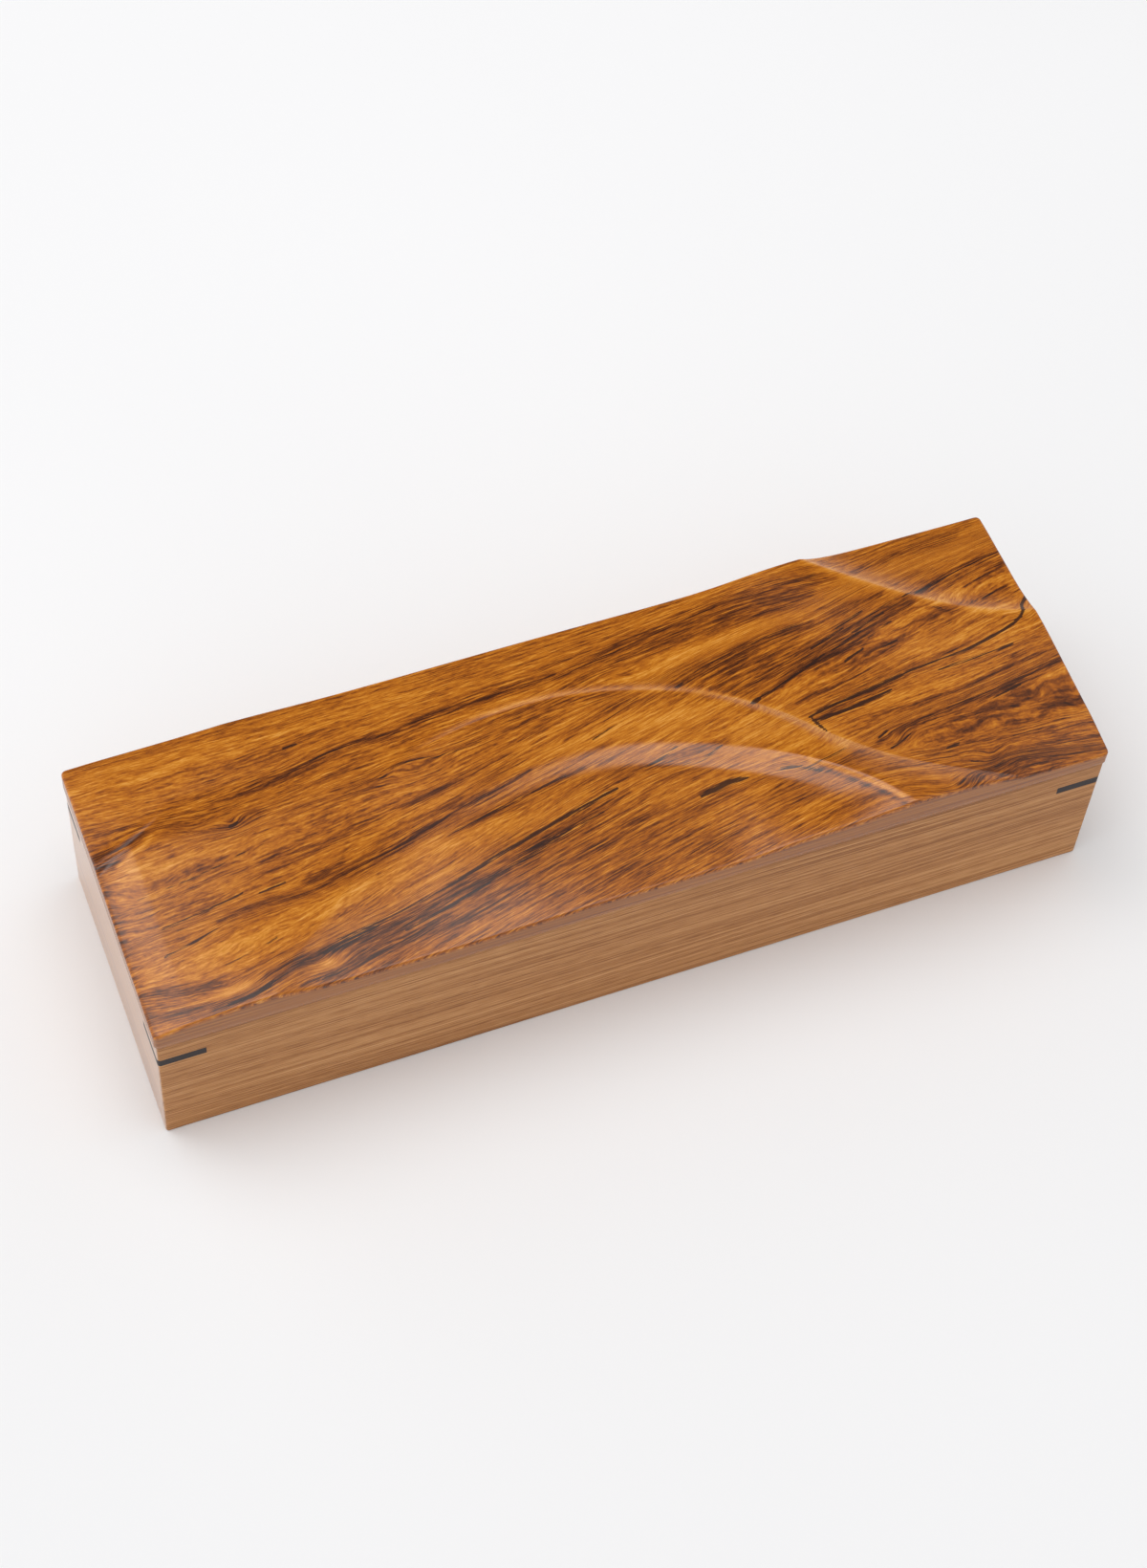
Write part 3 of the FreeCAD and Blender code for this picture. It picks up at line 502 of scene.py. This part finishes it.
# Dark veins: points, half width, strength
VEINS = (
    (((67.6, -7.8), (74, -6.4), (84, -5.1), (95, -3.6), (104, -2.3)), 0.7, 1.0),
    (((102, -2.5), (115, -1.5), (125, -0.6), (133, 1.1), (140, 3.1), (144.5, 5.2)), 0.5, 1.05),
    (((144.5, 5.2), (146.6, 7.4), (147.1, 9.6), (148.6, 11.4), (151, 13.4)), 0.5, 1.05),
    (((68.4, -9.6), (76, -9.3), (85, -8.2), (95, -6.8)), 0.7, 1.0),
    (((68, -7.8), (69, -11), (70.6, -14.2)), 0.55, 0.95),
    (((112, -4.8), (122, -4.5), (130, -3.8), (138, -3.2)), 0.5, 0.8),
    (((26, -23.2), (31, -22.2), (36, -21.3), (41.6, -21.6)), 1.0, 1.0),
    (((53, 2.4), (56, 3.6)), 0.8, 1.0),
    (((57, 4.2), (63, 5.6), (68, 7.4), (72, 8.8)), 0.5, 0.85),
    (((-97, -38.4), (-88, -35.8), (-79, -34.2)), 1.0, 0.9),
    (((-92, -35.2), (-75, -32.6), (-60, -29.4), (-43, -25.4)), 0.55, 0.8),
    (((-52, -27.4), (-38, -23.4), (-24, -19.6), (-10, -16), (3, -12.8)), 0.65, 0.95),
    (((-72, -38), (-56, -34.2), (-44, -31.2)), 0.6, 0.9),
    (((-44, -29.4), (-30, -26.6), (-18, -23), (-4, -19.2)), 0.6, 0.8),
    (((-32, -24.8), (-20, -22.6), (-10, -20.6)), 0.5, 0.7),
    (((-50, -12), (-36, -9.4), (-24, -6.8), (-10, -4)), 0.5, 0.7),
    (((-62, 13.4), (-56, 15.8), (-49, 15.8), (-42, 14.4), (-30, 15.2)), 0.35, 0.7),
    (((-142, -4.3), (-130, -3), (-118, -1), (-108, 1.6)), 0.4, 0.65),
    (((-138, -15.7), (-125, -13.8), (-113, -11.6)), 0.45, 0.8),
    (((-108, -13), (-100, -12)), 0.4, 0.75),
    (((-140, -24.6), (-130, -22.4), (-118, -18.8)), 0.45, 0.7),
    (((-134, -17.6), (-120, -18)), 0.4, 0.6),
    (((-147, -19), (-141, -22), (-136, -22)), 0.6, 0.5),
    (((-125, -33.6), (-116, -31.4), (-108, -29.4)), 0.5, 0.55),
    (((-86, 33.1), (-82, 33.4)), 0.5, 0.85),
    (((-109.4, 11), (-107, 12)), 0.8, 0.85),
    (((-80, 26), (-72, 27.4), (-64, 26.6)), 0.6, 0.7),
    (((-128, -45.8), (-120, -45.4), (-113, -43)), 0.8, 0.9),
    (((-100, -46), (-92, -44.4)), 0.6, 0.8),
    (((33, 15), (36, 16.4)), 0.7, 0.8),
    (((40, 17.6), (46, 19.8), (54, 21.6)), 0.6, 0.65),
    (((58, 22.6), (68, 24.4), (80, 25.2)), 0.5, 0.7),
    (((50, 11.6), (60, 13.6), (70, 14.4)), 0.5, 0.55),
    (((74, 9.6), (81, 12.2)), 0.5, 0.8),
    (((78, 15.4), (90, 18.8)), 0.5, 0.8),
    (((84, 12.6), (95, 16.2)), 0.5, 0.75),
    (((88, 19.4), (98, 22.4)), 0.5, 0.8),
    (((92, 16.4), (104, 19.6)), 0.6, 0.85),
    (((96, 12.8), (105, 16)), 0.5, 0.8),
    (((100, 20.6), (110, 23.6)), 0.5, 0.7),
    (((86, 7.6), (93, 10)), 0.5, 0.75),
    (((96, 6.8), (104, 9)), 0.6, 0.7),
    (((103, 12), (114, 15.4)), 0.5, 0.6),
    (((112, 23.2), (117, 24.4), (124, 26.4)), 0.7, 0.8),
    (((126, 27), (136, 29.4), (148, 31.6)), 0.6, 0.7),
    (((136, 23.4), (144, 25.4)), 0.5, 0.7),
    (((134, 15.8), (141, 17.6)), 0.5, 0.7),
    (((119, 17.4), (122, 15.8)), 0.5, 0.7),
    (((103, 37.6), (110, 40)), 0.6, 0.6),
    (((64, 40.4), (76, 40.8)), 0.6, 0.4),
    (((12, 33.6), (24, 35.4)), 0.6, 0.4),
    (((124, -19.4), (134, -17.4)), 0.6, 0.85),
    (((84.6, -21.6), (88, -20)), 0.6, 0.85),
    (((87, -26), (94, -23.4)), 0.5, 0.7),
    (((118, -24), (125, -24.8)), 0.6, 0.6),
    (((103, -31.6), (107, -31)), 0.6, 0.75),
    (((114, -42), (118, -40.6)), 0.5, 0.7),
    (((108, -38), (111.4, -38.8)), 0.5, 0.7),
    (((99, -46.4), (104, -44)), 0.7, 0.7),
    (((52, -22.4), (57, -24), (63, -27.6)), 0.6, 0.8),
    (((14, -8.6), (20, -7), (25, -5.4)), 0.5, 0.75),
    (((25, -11.4), (31, -11.6), (38, -9.4)), 0.7, 0.65),
    (((-3, -14), (3, -12.6)), 0.8, 0.85),
    (((2, 5), (14, 9), (25, 12.4)), 0.4, 0.55),
    (((60, -25), (68, -24), (73, -22.6)), 0.4, 0.7),
    (((45, -31.4), (54, -30.4)), 0.4, 0.5),
    (((8, -21), (20, -18.6)), 0.4, 0.5),
)

# Broad fields of tone: x, y, reach along, reach across, amount, dark below 0 and gold above
FIELDS = (
    (-125, 36, 40, 9, 0.25), (-60, 40, 45, 7, 0.2), (0, 44, 40, 4, 0.12), (-138, 5, 9, 3.6, 0.5),
    (-110, -28, 28, 6, 0.35), (-78, -22, 24, 4, 0.4), (-50, -16, 26, 3, 0.35),
    (-97, -41.5, 5, 2.6, 1.0), (-124, -42, 8, 1.7, 0.8), (-30, -14, 34, 3, 0.4),
    (5, 6, 26, 4, 0.5), (30, 4, 20, 5, 0.5), (50, -8, 16, 5, 0.4), (62, -16, 12, 5, 0.45),
    (72, -21, 5, 3, 0.5), (45, 27, 26, 2.6, 0.5), (68, 29, 16, 2, 0.3), (28, 23, 14, 2.4, 0.3),
    (112, 3.5, 26, 2.6, 0.4), (140, -1, 16, 2.6, 0.3), (102, -10, 22, 2.6, 0.4),
    (125, 36.5, 25, 3, 0.25), (126, 21, 14, 2.4, 0.35), (143, 10, 7, 3, 0.4),
    (75, 34, 22, 6, -0.25), (58, 13, 18, 6, -0.25), (95, 15, 22, 6, -0.2),
    (125, -15, 30, 4, -0.2), (130, -25, 25, 5, -0.2), (125, -40, 28, 6, -0.3),
    (20, -34, 50, 9, -0.12), (-30, -40, 42, 6, -0.25), (-86, -42, 26, 5, -0.2),
    (20, -20, 30, 3, 0.2), (-10, -33, 30, 3, 0.15), (95, -28, 8, 3, 0.2),
    (120, -28, 12, 2, 0.25), (140, -37, 14, 3, 0.2), (-20, 26, 26, 2.4, 0.15),
    (-110, -6, 30, 4, 0.1), (-40, 10, 26, 4, 0.05), (-143, -28, 7, 10, 0.1),
)

# How a drawn stroke shows, and how it turns the grain beside it
BAND_LEAST = 0.9          # narrowest reach of a band, painted highlight or vein that the mesh can hold, in mm
HIGHLIGHT_LEAST = 0.8
VEIN_LEAST = 0.62
STROKE_SOFTNESS = 1.3     # reach of a stroke, as a share of its half width
STROKE_TIP = 0.4          # reach left at its ends
STROKE_TAPER = 4.0        # how fast it widens from them, over its whole length
STROKE_STEEPEST = 0.5     # steeper strokes don't turn the grain
STROKE_AHEAD = 2.0        # how far past its ends a stroke turns the grain, in mm
STROKE_ASIDE = 1.6        # and past its sides
STROKE_WEIGHT = 2.5       # against a weight of 1 for a place in GRAIN_SLOPES
LEAST_WEIGHT = 1e-9       # keeps the grain level where nothing is near
HEIGHT_SHIFT = 0.6        # how far the figure moves across for each mm of height


def grain_samples():
    """Places where the grain's slope is known: x, y, reach along and across, slope, weight."""
    samples = [(x, y, GRAIN_REACH_X, GRAIN_REACH_Y, slope, 1.0) for x, y, slope in GRAIN_SLOPES]
    for points, half_width, _ in DARK_BANDS_AND_SHADE + VEINS:
        for (start_x, start_y), (end_x, end_y) in zip(points[:-1], points[1:]):
            run = end_x - start_x
            rise = end_y - start_y
            if abs(rise) < STROKE_STEEPEST * run:
                samples.append(((start_x + end_x) / 2, (start_y + end_y) / 2,
                                run / 2 + STROKE_AHEAD, half_width + STROKE_ASIDE,
                                rise / run, STROKE_WEIGHT))
    return samples


def grain_slope(x, y):
    """Slope of the grain: even over the lid, and along each drawn band or vein near it."""
    weight = np.full(x.shape, LEAST_WEIGHT)
    slope = np.zeros(x.shape)
    for middle_x, middle_y, reach_x, reach_y, value, share in grain_samples():
        near = share * swell(x, y, middle_x, middle_y, reach_x, reach_y)
        weight += near
        slope += near * value
    return slope / weight


def grain_across(x, y):
    """The grain's own cross coordinate, constant along a fibre, in mm."""
    slope = grain_slope(x, y)
    across = np.array(y)
    columns = len(x)
    middle = columns // 2
    for step, stop in ((1, columns), (-1, -1)):
        for column in range(middle + step, stop, step):
            before = column - step
            start = y[column] - slope[column] * (x[column] - x[before])
            inside = np.interp(start, y[before], across[before])
            beyond = start - np.clip(start, y[before].min(), y[before].max())
            across[column] = inside + beyond
    for middle_x, middle_y, reach_x, reach_y, strength in SWIRLS:
        across += strength * swell(x, y, middle_x, middle_y, reach_x, reach_y)
    return across


def drawn(strokes, x, y, least):
    """How strongly each point lies in one of the strokes, which taper to their ends."""
    total = np.zeros(x.shape)
    for points, half_width, strength in strokes:
        gap, along = distance_to_line(points, x, y)
        taper = np.minimum(1.0, STROKE_TAPER * np.minimum(along, 1 - along) + STROKE_TIP)
        reach = np.maximum(least, STROKE_SOFTNESS * half_width * taper)
        total = np.maximum(total, strength * np.exp(-(gap / reach) ** 2))
    return total


def grain_figure(x, y, height):
    """What the lid's material reads at each point."""
    # Painted highlights along the crests, less the dark bands, some of which are painted shade
    tone = drawn(PAINTED_HIGHLIGHTS, x, y, HIGHLIGHT_LEAST) - drawn(DARK_BANDS_AND_SHADE, x, y, BAND_LEAST)
    for middle_x, middle_y, reach_x, reach_y, amount in FIELDS:
        tone += amount * swell(x, y, middle_x, middle_y, reach_x, reach_y)
    across = grain_across(x, y) + HEIGHT_SHIFT * height
    return {"across": across * MM, "vein": drawn(VEINS, x, y, VEIN_LEAST), "tone": tone}


# Node materials

# Colours as they look on a screen, 0 to 255, each at its place on a ramp
LID_STOPS = ((0.0, (56, 24, 6)), (0.2, (94, 45, 9)), (0.38, (138, 72, 12)),
             (0.5, (168, 93, 17)), (0.62, (186, 110, 22)), (0.8, (208, 135, 42)),
             (1.0, (224, 158, 76)))
LID_FACE_STOPS = ((0.3, (126, 70, 28)), (0.5, (154, 91, 30)), (0.7, (173, 109, 44)))
BODY_STOPS = ((0.2, (132, 80, 36)), (0.4, (165, 109, 58)), (0.5, (176, 120, 68)),
              (0.6, (186, 130, 77)), (0.8, (204, 150, 96)))
INNER_STOPS = ((0.2, (150, 106, 66)), (0.5, (188, 146, 102)), (0.8, (210, 172, 128)))
EBONY_STOPS = ((0.3, (27, 19, 20)), (0.6, (39, 29, 30)), (0.8, (54, 43, 44)))
SLATE_STOPS = ((0.3, (38, 40, 44)), (0.5, (54, 57, 62)), (0.7, (74, 77, 82)))
INK_STOPS = ((0.3, (20, 20, 23)), (0.7, (40, 39, 42)))
GOLD_STOPS = ((0.3, (176, 128, 48)), (0.7, (206, 162, 84)))
FLOOR_STOPS = ((0.3, (241, 241, 242)), (0.7, (243, 243, 244)))

# The lid's wood
LID_DRIFT = 1.3                 # how far noise moves its fibres across, in mm
LID_DEPTH_SHARE = 0.15          # share of the height that the noise reads
LID_OFFSET = 1.15               # taken off the summed noise, to put its average at 0.5
TONE_LINES = (0.36, 0.62)       # from the dark lines of the grain to the pale ones
TONE_SHARES = (0.52, 0.2)       # how much of the drawn tone shows in each
NOISE_MIDDLE = 0.5              # what a noise is on average
VEIN_COLOUR = (46, 20, 10)
VEIN_BREAK = 1.3                # how much the grain breaks a vein up
VEIN_EDGE = (0.42, 0.7)         # where a broken vein begins to show and where it is full
VEIN_START = (0.05, 0.25)       # how strongly a vein has to be drawn to begin, and to be full
VEIN_SHARE = 0.92               # how much of the wood's colour a full vein covers

# The straight-grained wood
WOOD_DRIFT = 6.0                # how far noise moves its fibres across, in mm
DRIFT_ALONG = 6.0               # spots of that noise in a metre, along the grain
DRIFT_ACROSS = 20.0             # and across it
WOOD_OFFSET = 1.05              # taken off the summed noise, to put its average at 0.5
END_OFFSET = 0.5                # moves the end walls' figure away from the long walls', in metres
COAT_ROUGHNESS = 0.3            # of the polish on the end walls

# The gilding of the ink stick
GILDING_DEPTH = 0.3             # down from the top of the stick, in mm
GILDING_EDGE = (0.40, 0.50)     # worn off below the first value of the noise, whole above both
GILDING_METAL = 0.8             # how metallic it is

# Fine relief of the surfaces
BUMP_STRENGTH = 0.1


def linear(red, green, blue):
    """A colour given as it looks on a screen, 0 to 255, in the shader's linear values."""
    values = []
    for value in (red, green, blue):
        share = value / 255
        values.append(share / 12.92 if share < 0.04045 else ((share + 0.055) / 1.055) ** 2.4)
    return (*values, 1.0)


class Wiring:
    """Adds nodes to a node tree and joins them up."""

    def __init__(self, tree):
        self.tree = tree

    def node(self, kind, **inputs):
        made = self.tree.nodes.new(kind)
        for name, value in inputs.items():
            self.put(made.inputs[name.replace("_", " ")], value)
        return made

    def put(self, socket, value):
        if isinstance(value, bpy.types.NodeSocket):
            self.tree.links.new(value, socket)
        elif value is not None:
            socket.default_value = value

    def put_all(self, sockets, values):
        for socket, value in zip(sockets, values):
            self.put(socket, value)

    def vector(self, x, y, z):
        return self.node("ShaderNodeCombineXYZ", X=x, Y=y, Z=z).outputs["Vector"]

    def dot(self, first, second):
        made = self.node("ShaderNodeVectorMath")
        made.operation = "DOT_PRODUCT"
        self.put_all(made.inputs, (first, second))
        return made.outputs["Value"]

    def math(self, operation, first, second=None, third=None):
        made = self.node("ShaderNodeMath")
        made.operation = operation
        self.put_all(made.inputs, (first, second, third))
        return made.outputs["Value"]

    def scaled(self, value, factor):
        return self.math("MULTIPLY", value, factor)

    def summed(self, first, *others):
        """The sum of some values, each given with its share."""
        total = self.scaled(*first)
        for value, share in others:
            total = self.math("MULTIPLY_ADD", value, share, total)
        return total

    def span(self, value, low, high, out_low=0.0, out_high=1.0):
        """Maps low to high onto a smooth step."""
        made = self.node("ShaderNodeMapRange")
        made.interpolation_type = "SMOOTHSTEP"
        self.put_all(made.inputs, (value, low, high, out_low, out_high))
        return made.outputs["Result"]


class Shader(Wiring):
    """A node material under construction."""

    def __init__(self, name, roughness=0.5, specular=0.5):
        self.material = bpy.data.materials.new(name)
        self.material.use_nodes = True
        super().__init__(self.material.node_tree)
        self.surface = self.tree.nodes["Principled BSDF"]
        self.set("Roughness", roughness)
        self.set("Specular IOR Level", specular)

    def set(self, name, value):
        self.put(self.surface.inputs[name], value)

    def attribute(self, name):
        made = self.node("ShaderNodeAttribute")
        made.attribute_name = name
        return made.outputs["Fac"]

    def position(self):
        """Where a point is on the object, in metres."""
        return self.node("ShaderNodeTexCoord").outputs["Object"]

    def place(self):
        """X, Y and Z of that point."""
        split = self.node("ShaderNodeSeparateXYZ", Vector=self.position())
        return split.outputs["X"], split.outputs["Y"], split.outputs["Z"]

    def noise(self, vector, scale=1.0, detail=3.0, roughness=0.6):
        made = self.node("ShaderNodeTexNoise", Vector=vector, Scale=scale, Detail=detail,
                         Roughness=roughness)
        return made.outputs["Fac"]

    def streaks(self, along, across, depth, length, width, detail=3.0, roughness=0.6):
        """Noise drawn out along the grain: length and width of its spots, in mm."""
        long_scale = 1 / MM / length
        cross_scale = 1 / MM / width
        spots = self.vector(self.scaled(along, long_scale), self.scaled(across, cross_scale),
                            self.scaled(depth, cross_scale))
        return self.noise(spots, detail=detail, roughness=roughness)

    def ramp(self, value, stops):
        made = self.node("ShaderNodeValToRGB", Fac=value)
        ramp = made.color_ramp
        while len(ramp.elements) < len(stops):
            ramp.elements.new(0.5)
        for element, (place, colour) in zip(ramp.elements, stops):
            element.position = place
            element.color = linear(*colour)
        return made.outputs["Color"]

    def mix(self, share, first, second):
        made = self.node("ShaderNodeMix")
        made.data_type = "RGBA"
        colours = [socket for socket in made.inputs if socket.type == "RGBA"]
        self.put(made.inputs["Factor"], share)
        self.put_all(colours, (first, second))
        return [socket for socket in made.outputs if socket.type == "RGBA"][0]

    def bump(self, height, depth=0.2):
        """Shades the surface as if raised by a height, where 1 stands for the depth in mm."""
        made = self.node("ShaderNodeBump", Height=height, Strength=BUMP_STRENGTH,
                         Distance=depth * MM)
        self.set("Normal", made.outputs["Normal"])

    def finish(self, colour):
        self.set("Base Color", colour)
        return self.material


def paint(piece, material):
    piece.data.materials.clear()
    piece.data.materials.append(material)


def lid_material():
    """Figured golden-brown wood with dark veins, under a satin oil finish; its drawn tone holds
    painted highlights and painted shade.
    """
    look = Shader("figured_lid_wood", roughness=0.25, specular=0.5)
    x, y, height = look.place()
    z = look.scaled(height, LID_DEPTH_SHARE)
    fibre = look.attribute("across")
    drift = look.streaks(x, fibre, z, length=16, width=3.0, detail=2.0, roughness=0.5)
    across = look.math("MULTIPLY_ADD", drift, LID_DRIFT * MM, fibre)
    bands = look.streaks(x, across, z, length=60, width=3.2)
    lines = look.streaks(x, across, z, length=16, width=0.8, roughness=0.65)
    hairs = look.streaks(x, across, z, length=12, width=0.36, roughness=0.7)
    grain = look.streaks(x, across, z, length=3, width=0.3, detail=2.0, roughness=0.7)
    level = look.summed((lines, 0.75), (bands, 0.55), (hairs, 1.2), (grain, 0.8))
    shown = look.span(lines, *TONE_LINES, *TONE_SHARES)
    level = look.math("SUBTRACT", level, LID_OFFSET)
    # the drawn tone: wood fields and bands, with painted highlights and some painted shade
    level = look.math("MULTIPLY_ADD", look.attribute("tone"), shown, level)
    wood = look.ramp(level, LID_STOPS)

    vein = look.attribute("vein")
    broken = vein
    for noise in (lines, hairs):
        lack = look.math("SUBTRACT", NOISE_MIDDLE, noise)
        broken = look.math("MULTIPLY_ADD", lack, VEIN_BREAK, broken)
    dark = look.math("MULTIPLY", look.span(broken, *VEIN_EDGE), look.span(vein, *VEIN_START))
    wood = look.mix(look.scaled(dark, VEIN_SHARE), wood, linear(*VEIN_COLOUR))

    face = look.ramp(look.streaks(x, height, y, length=70, width=0.9), LID_FACE_STOPS)
    on_side = look.math("GREATER_THAN", look.attribute("side"), 0.5)
    look.bump(look.summed((lines, 0.6), (hairs, 1.0)))
    return look.finish(look.mix(on_side, wood, face))


def straight_wood(name, along_y, stops, roughness=0.45, specular=0.5, coat=0.0, offset=0.0):
    """Plain straight-grained wood."""
    look = Shader(name, roughness=roughness, specular=specular)
    look.set("Coat Weight", coat)
    look.set("Coat Roughness", COAT_ROUGHNESS)
    x, y, z = look.place()
    along, depth = (y, x) if along_y else (x, y)
    along = look.math("ADD", along, offset)
    waves = look.vector(look.scaled(along, DRIFT_ALONG), look.scaled(z, DRIFT_ACROSS),
                        look.scaled(depth, DRIFT_ACROSS))
    drift = look.noise(waves, detail=1.0, roughness=0.5)
    level = look.math("MULTIPLY_ADD", drift, WOOD_DRIFT * MM, z)
    bands = look.streaks(along, level, depth, length=220, width=7.0)
    lines = look.streaks(along, level, depth, length=150, width=0.65, roughness=0.7)
    fibres = look.streaks(along, level, depth, length=7, width=0.35, detail=2.0)
    total = look.summed((lines, 1.7), (bands, 0.6), (fibres, 0.8))
    look.bump(look.math("ADD", fibres, lines))
    return look.finish(look.ramp(look.math("SUBTRACT", total, WOOD_OFFSET), stops))


def ebony():
    """Near-black wood, whose grain runs along each key on both walls."""
    look = Shader("ebony_key", roughness=0.42, specular=0.25)
    x, y, z = look.place()
    along = look.math("ADD", x, y)
    depth = look.math("SUBTRACT", x, y)
    return look.finish(look.ramp(look.streaks(along, z, depth, length=12, width=0.4), EBONY_STOPS))


def slate():
    """Dark grey stone with fine grains and faint clouds."""
    look = Shader("slate", roughness=0.55)
    position = look.position()
    grains = look.noise(position, scale=900, detail=4.0)
    clouds = look.noise(position, scale=40, roughness=0.5)
    look.bump(grains)
    return look.finish(look.ramp(look.summed((clouds, 0.4), (grains, 0.6)), SLATE_STOPS))


def ink():
    """Pressed black ink, with worn gilding on the raised border of its upper face."""
    look = Shader("ink", roughness=0.5)
    position = look.position()
    _, _, z = look.place()
    grains = look.noise(position, scale=1400)
    wear = look.noise(position, scale=260, detail=4.0)
    border = look.math("GREATER_THAN", z, STICK_TOP - GILDING_DEPTH * MM)
    gilded = look.math("MULTIPLY", border, look.span(wear, *GILDING_EDGE))
    look.set("Metallic", look.scaled(gilded, GILDING_METAL))
    look.bump(grains, depth=0.1)
    black = look.ramp(grains, INK_STOPS)
    gold = look.ramp(grains, GOLD_STOPS)
    return look.finish(look.mix(gilded, black, gold))


def dress_nodes():
    """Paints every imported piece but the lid, which the carved board stands for."""
    body_long = straight_wood("body_wood_long", False, BODY_STOPS, specular=0.25)
    body_end = straight_wood("body_wood_end", True, BODY_STOPS, roughness=0.3, coat=1.0,
                             offset=END_OFFSET)
    inner = straight_wood("inner_wood", False, INNER_STOPS)
    inner_cross = straight_wood("inner_wood_cross", True, INNER_STOPS)
    finishes = {
        "front_wall": body_long, "back_wall": body_long,
        "left_end_wall": body_end, "right_end_wall": body_end,
        "bottom_panel": inner, "divider": inner_cross,
        "stone_bed": inner, "stick_bed": inner,
        "inkstone": slate(), "ink_stick": ink(),
    }
    key = ebony()
    for name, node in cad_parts.items():
        if name.startswith("corner_key"):
            paint(node, key)
        elif name in finishes:
            paint(node, finishes[name])


# Floor, light and camera

def floor():
    half = FLOOR_HALF
    corners = [(-half, -half, 0), (half, -half, 0), (half, half, 0), (-half, half, 0)]
    piece = new_object("floor", corners, [(0, 1, 2, 3)])
    look = Shader("pale_floor", roughness=0.9, specular=0.1)
    tone = look.noise(look.position(), scale=3, detail=1.0, roughness=0.5)
    paint(piece, look.finish(look.ramp(tone, FLOOR_STOPS)))


def world_light():
    """Soft light from all round, with a dark patch where the level parts of the lid reflect."""
    world = bpy.data.worlds.new("studio")
    bpy.context.scene.world = world
    world.use_nodes = True
    wiring = Wiring(world.node_tree)
    direction = wiring.node("ShaderNodeTexCoord").outputs["Generated"]
    towards_patch = wiring.dot(direction, Vector(DARK_PATCH).normalized())
    patch = wiring.span(towards_patch, math.cos(math.radians(PATCH_START)),
                        math.cos(math.radians(PATCH_FULL)), 1.0, PATCH_SHARE)
    sky = wiring.math("MULTIPLY_ADD", wiring.dot(direction, WORLD_TILT), WORLD_LEVEL, WORLD_LEVEL)
    paths = wiring.node("ShaderNodeLightPath").outputs
    seen = wiring.math("MAXIMUM", paths["Is Camera Ray"], paths["Is Transmission Ray"])
    hidden = wiring.math("SUBTRACT", 1.0, seen)
    lit = wiring.math("MULTIPLY", wiring.math("MULTIPLY", sky, patch), hidden)
    strength = wiring.math("MULTIPLY_ADD", seen, BACKDROP_LEVEL, lit)
    background = wiring.tree.nodes["Background"]
    wiring.put(background.inputs["Color"], (1.0, 1.0, 1.0, 1.0))
    wiring.put(background.inputs["Strength"], strength)


def softbox():
    """A flat lamp that faces the origin, with its length along a level direction."""
    lamp = bpy.data.lights.new("softbox", "AREA")
    lamp.shape = "RECTANGLE"
    lamp.size = LAMP_LENGTH
    lamp.size_y = LAMP_WIDTH
    lamp.energy = LAMP_RADIANCE * math.pi * LAMP_LENGTH * LAMP_WIDTH
    back = Vector(LAMP_PLACE).normalized()
    across = back.cross(Vector(LAMP_ALONG)).normalized()
    turn = Matrix((across.cross(back), across, back)).transposed().to_4x4()
    piece = bpy.data.objects.new("softbox", lamp)
    piece.matrix_world = Matrix.Translation(LAMP_PLACE) @ turn
    bpy.context.scene.collection.objects.link(piece)


def camera():
    azimuth = math.radians(CAMERA_AZIMUTH)
    elevation = math.radians(CAMERA_ELEVATION)
    roll = math.radians(CAMERA_ROLL)
    back = Vector((math.sin(azimuth) * math.cos(elevation),
                   -math.cos(azimuth) * math.cos(elevation), math.sin(elevation)))
    level_right = Vector((math.cos(azimuth), math.sin(azimuth), 0.0))
    level_up = back.cross(level_right)
    right = math.cos(roll) * level_right + math.sin(roll) * level_up
    up = math.cos(roll) * level_up - math.sin(roll) * level_right
    data = bpy.data.cameras.new("camera")
    data.sensor_width = SENSOR
    data.lens = FOCAL_PX / FRAME_HEIGHT_PX * SENSOR
    data.clip_start = CLIP_NEAR
    data.clip_end = CLIP_FAR
    piece = bpy.data.objects.new("camera", data)
    turn = Matrix((right, up, back)).transposed().to_4x4()
    place_right, place_up, place_back = (value * MM for value in CAMERA_PLACE)
    piece.matrix_world = Matrix.Translation(
        right * place_right + up * place_up + back * place_back) @ turn
    bpy.context.scene.collection.objects.link(piece)
    bpy.context.scene.camera = piece


camera()
floor()
world_light()
softbox()
paint(make_lid(), lid_material())
dress_nodes()
bpy.context.scene.view_settings.view_transform = "Standard"
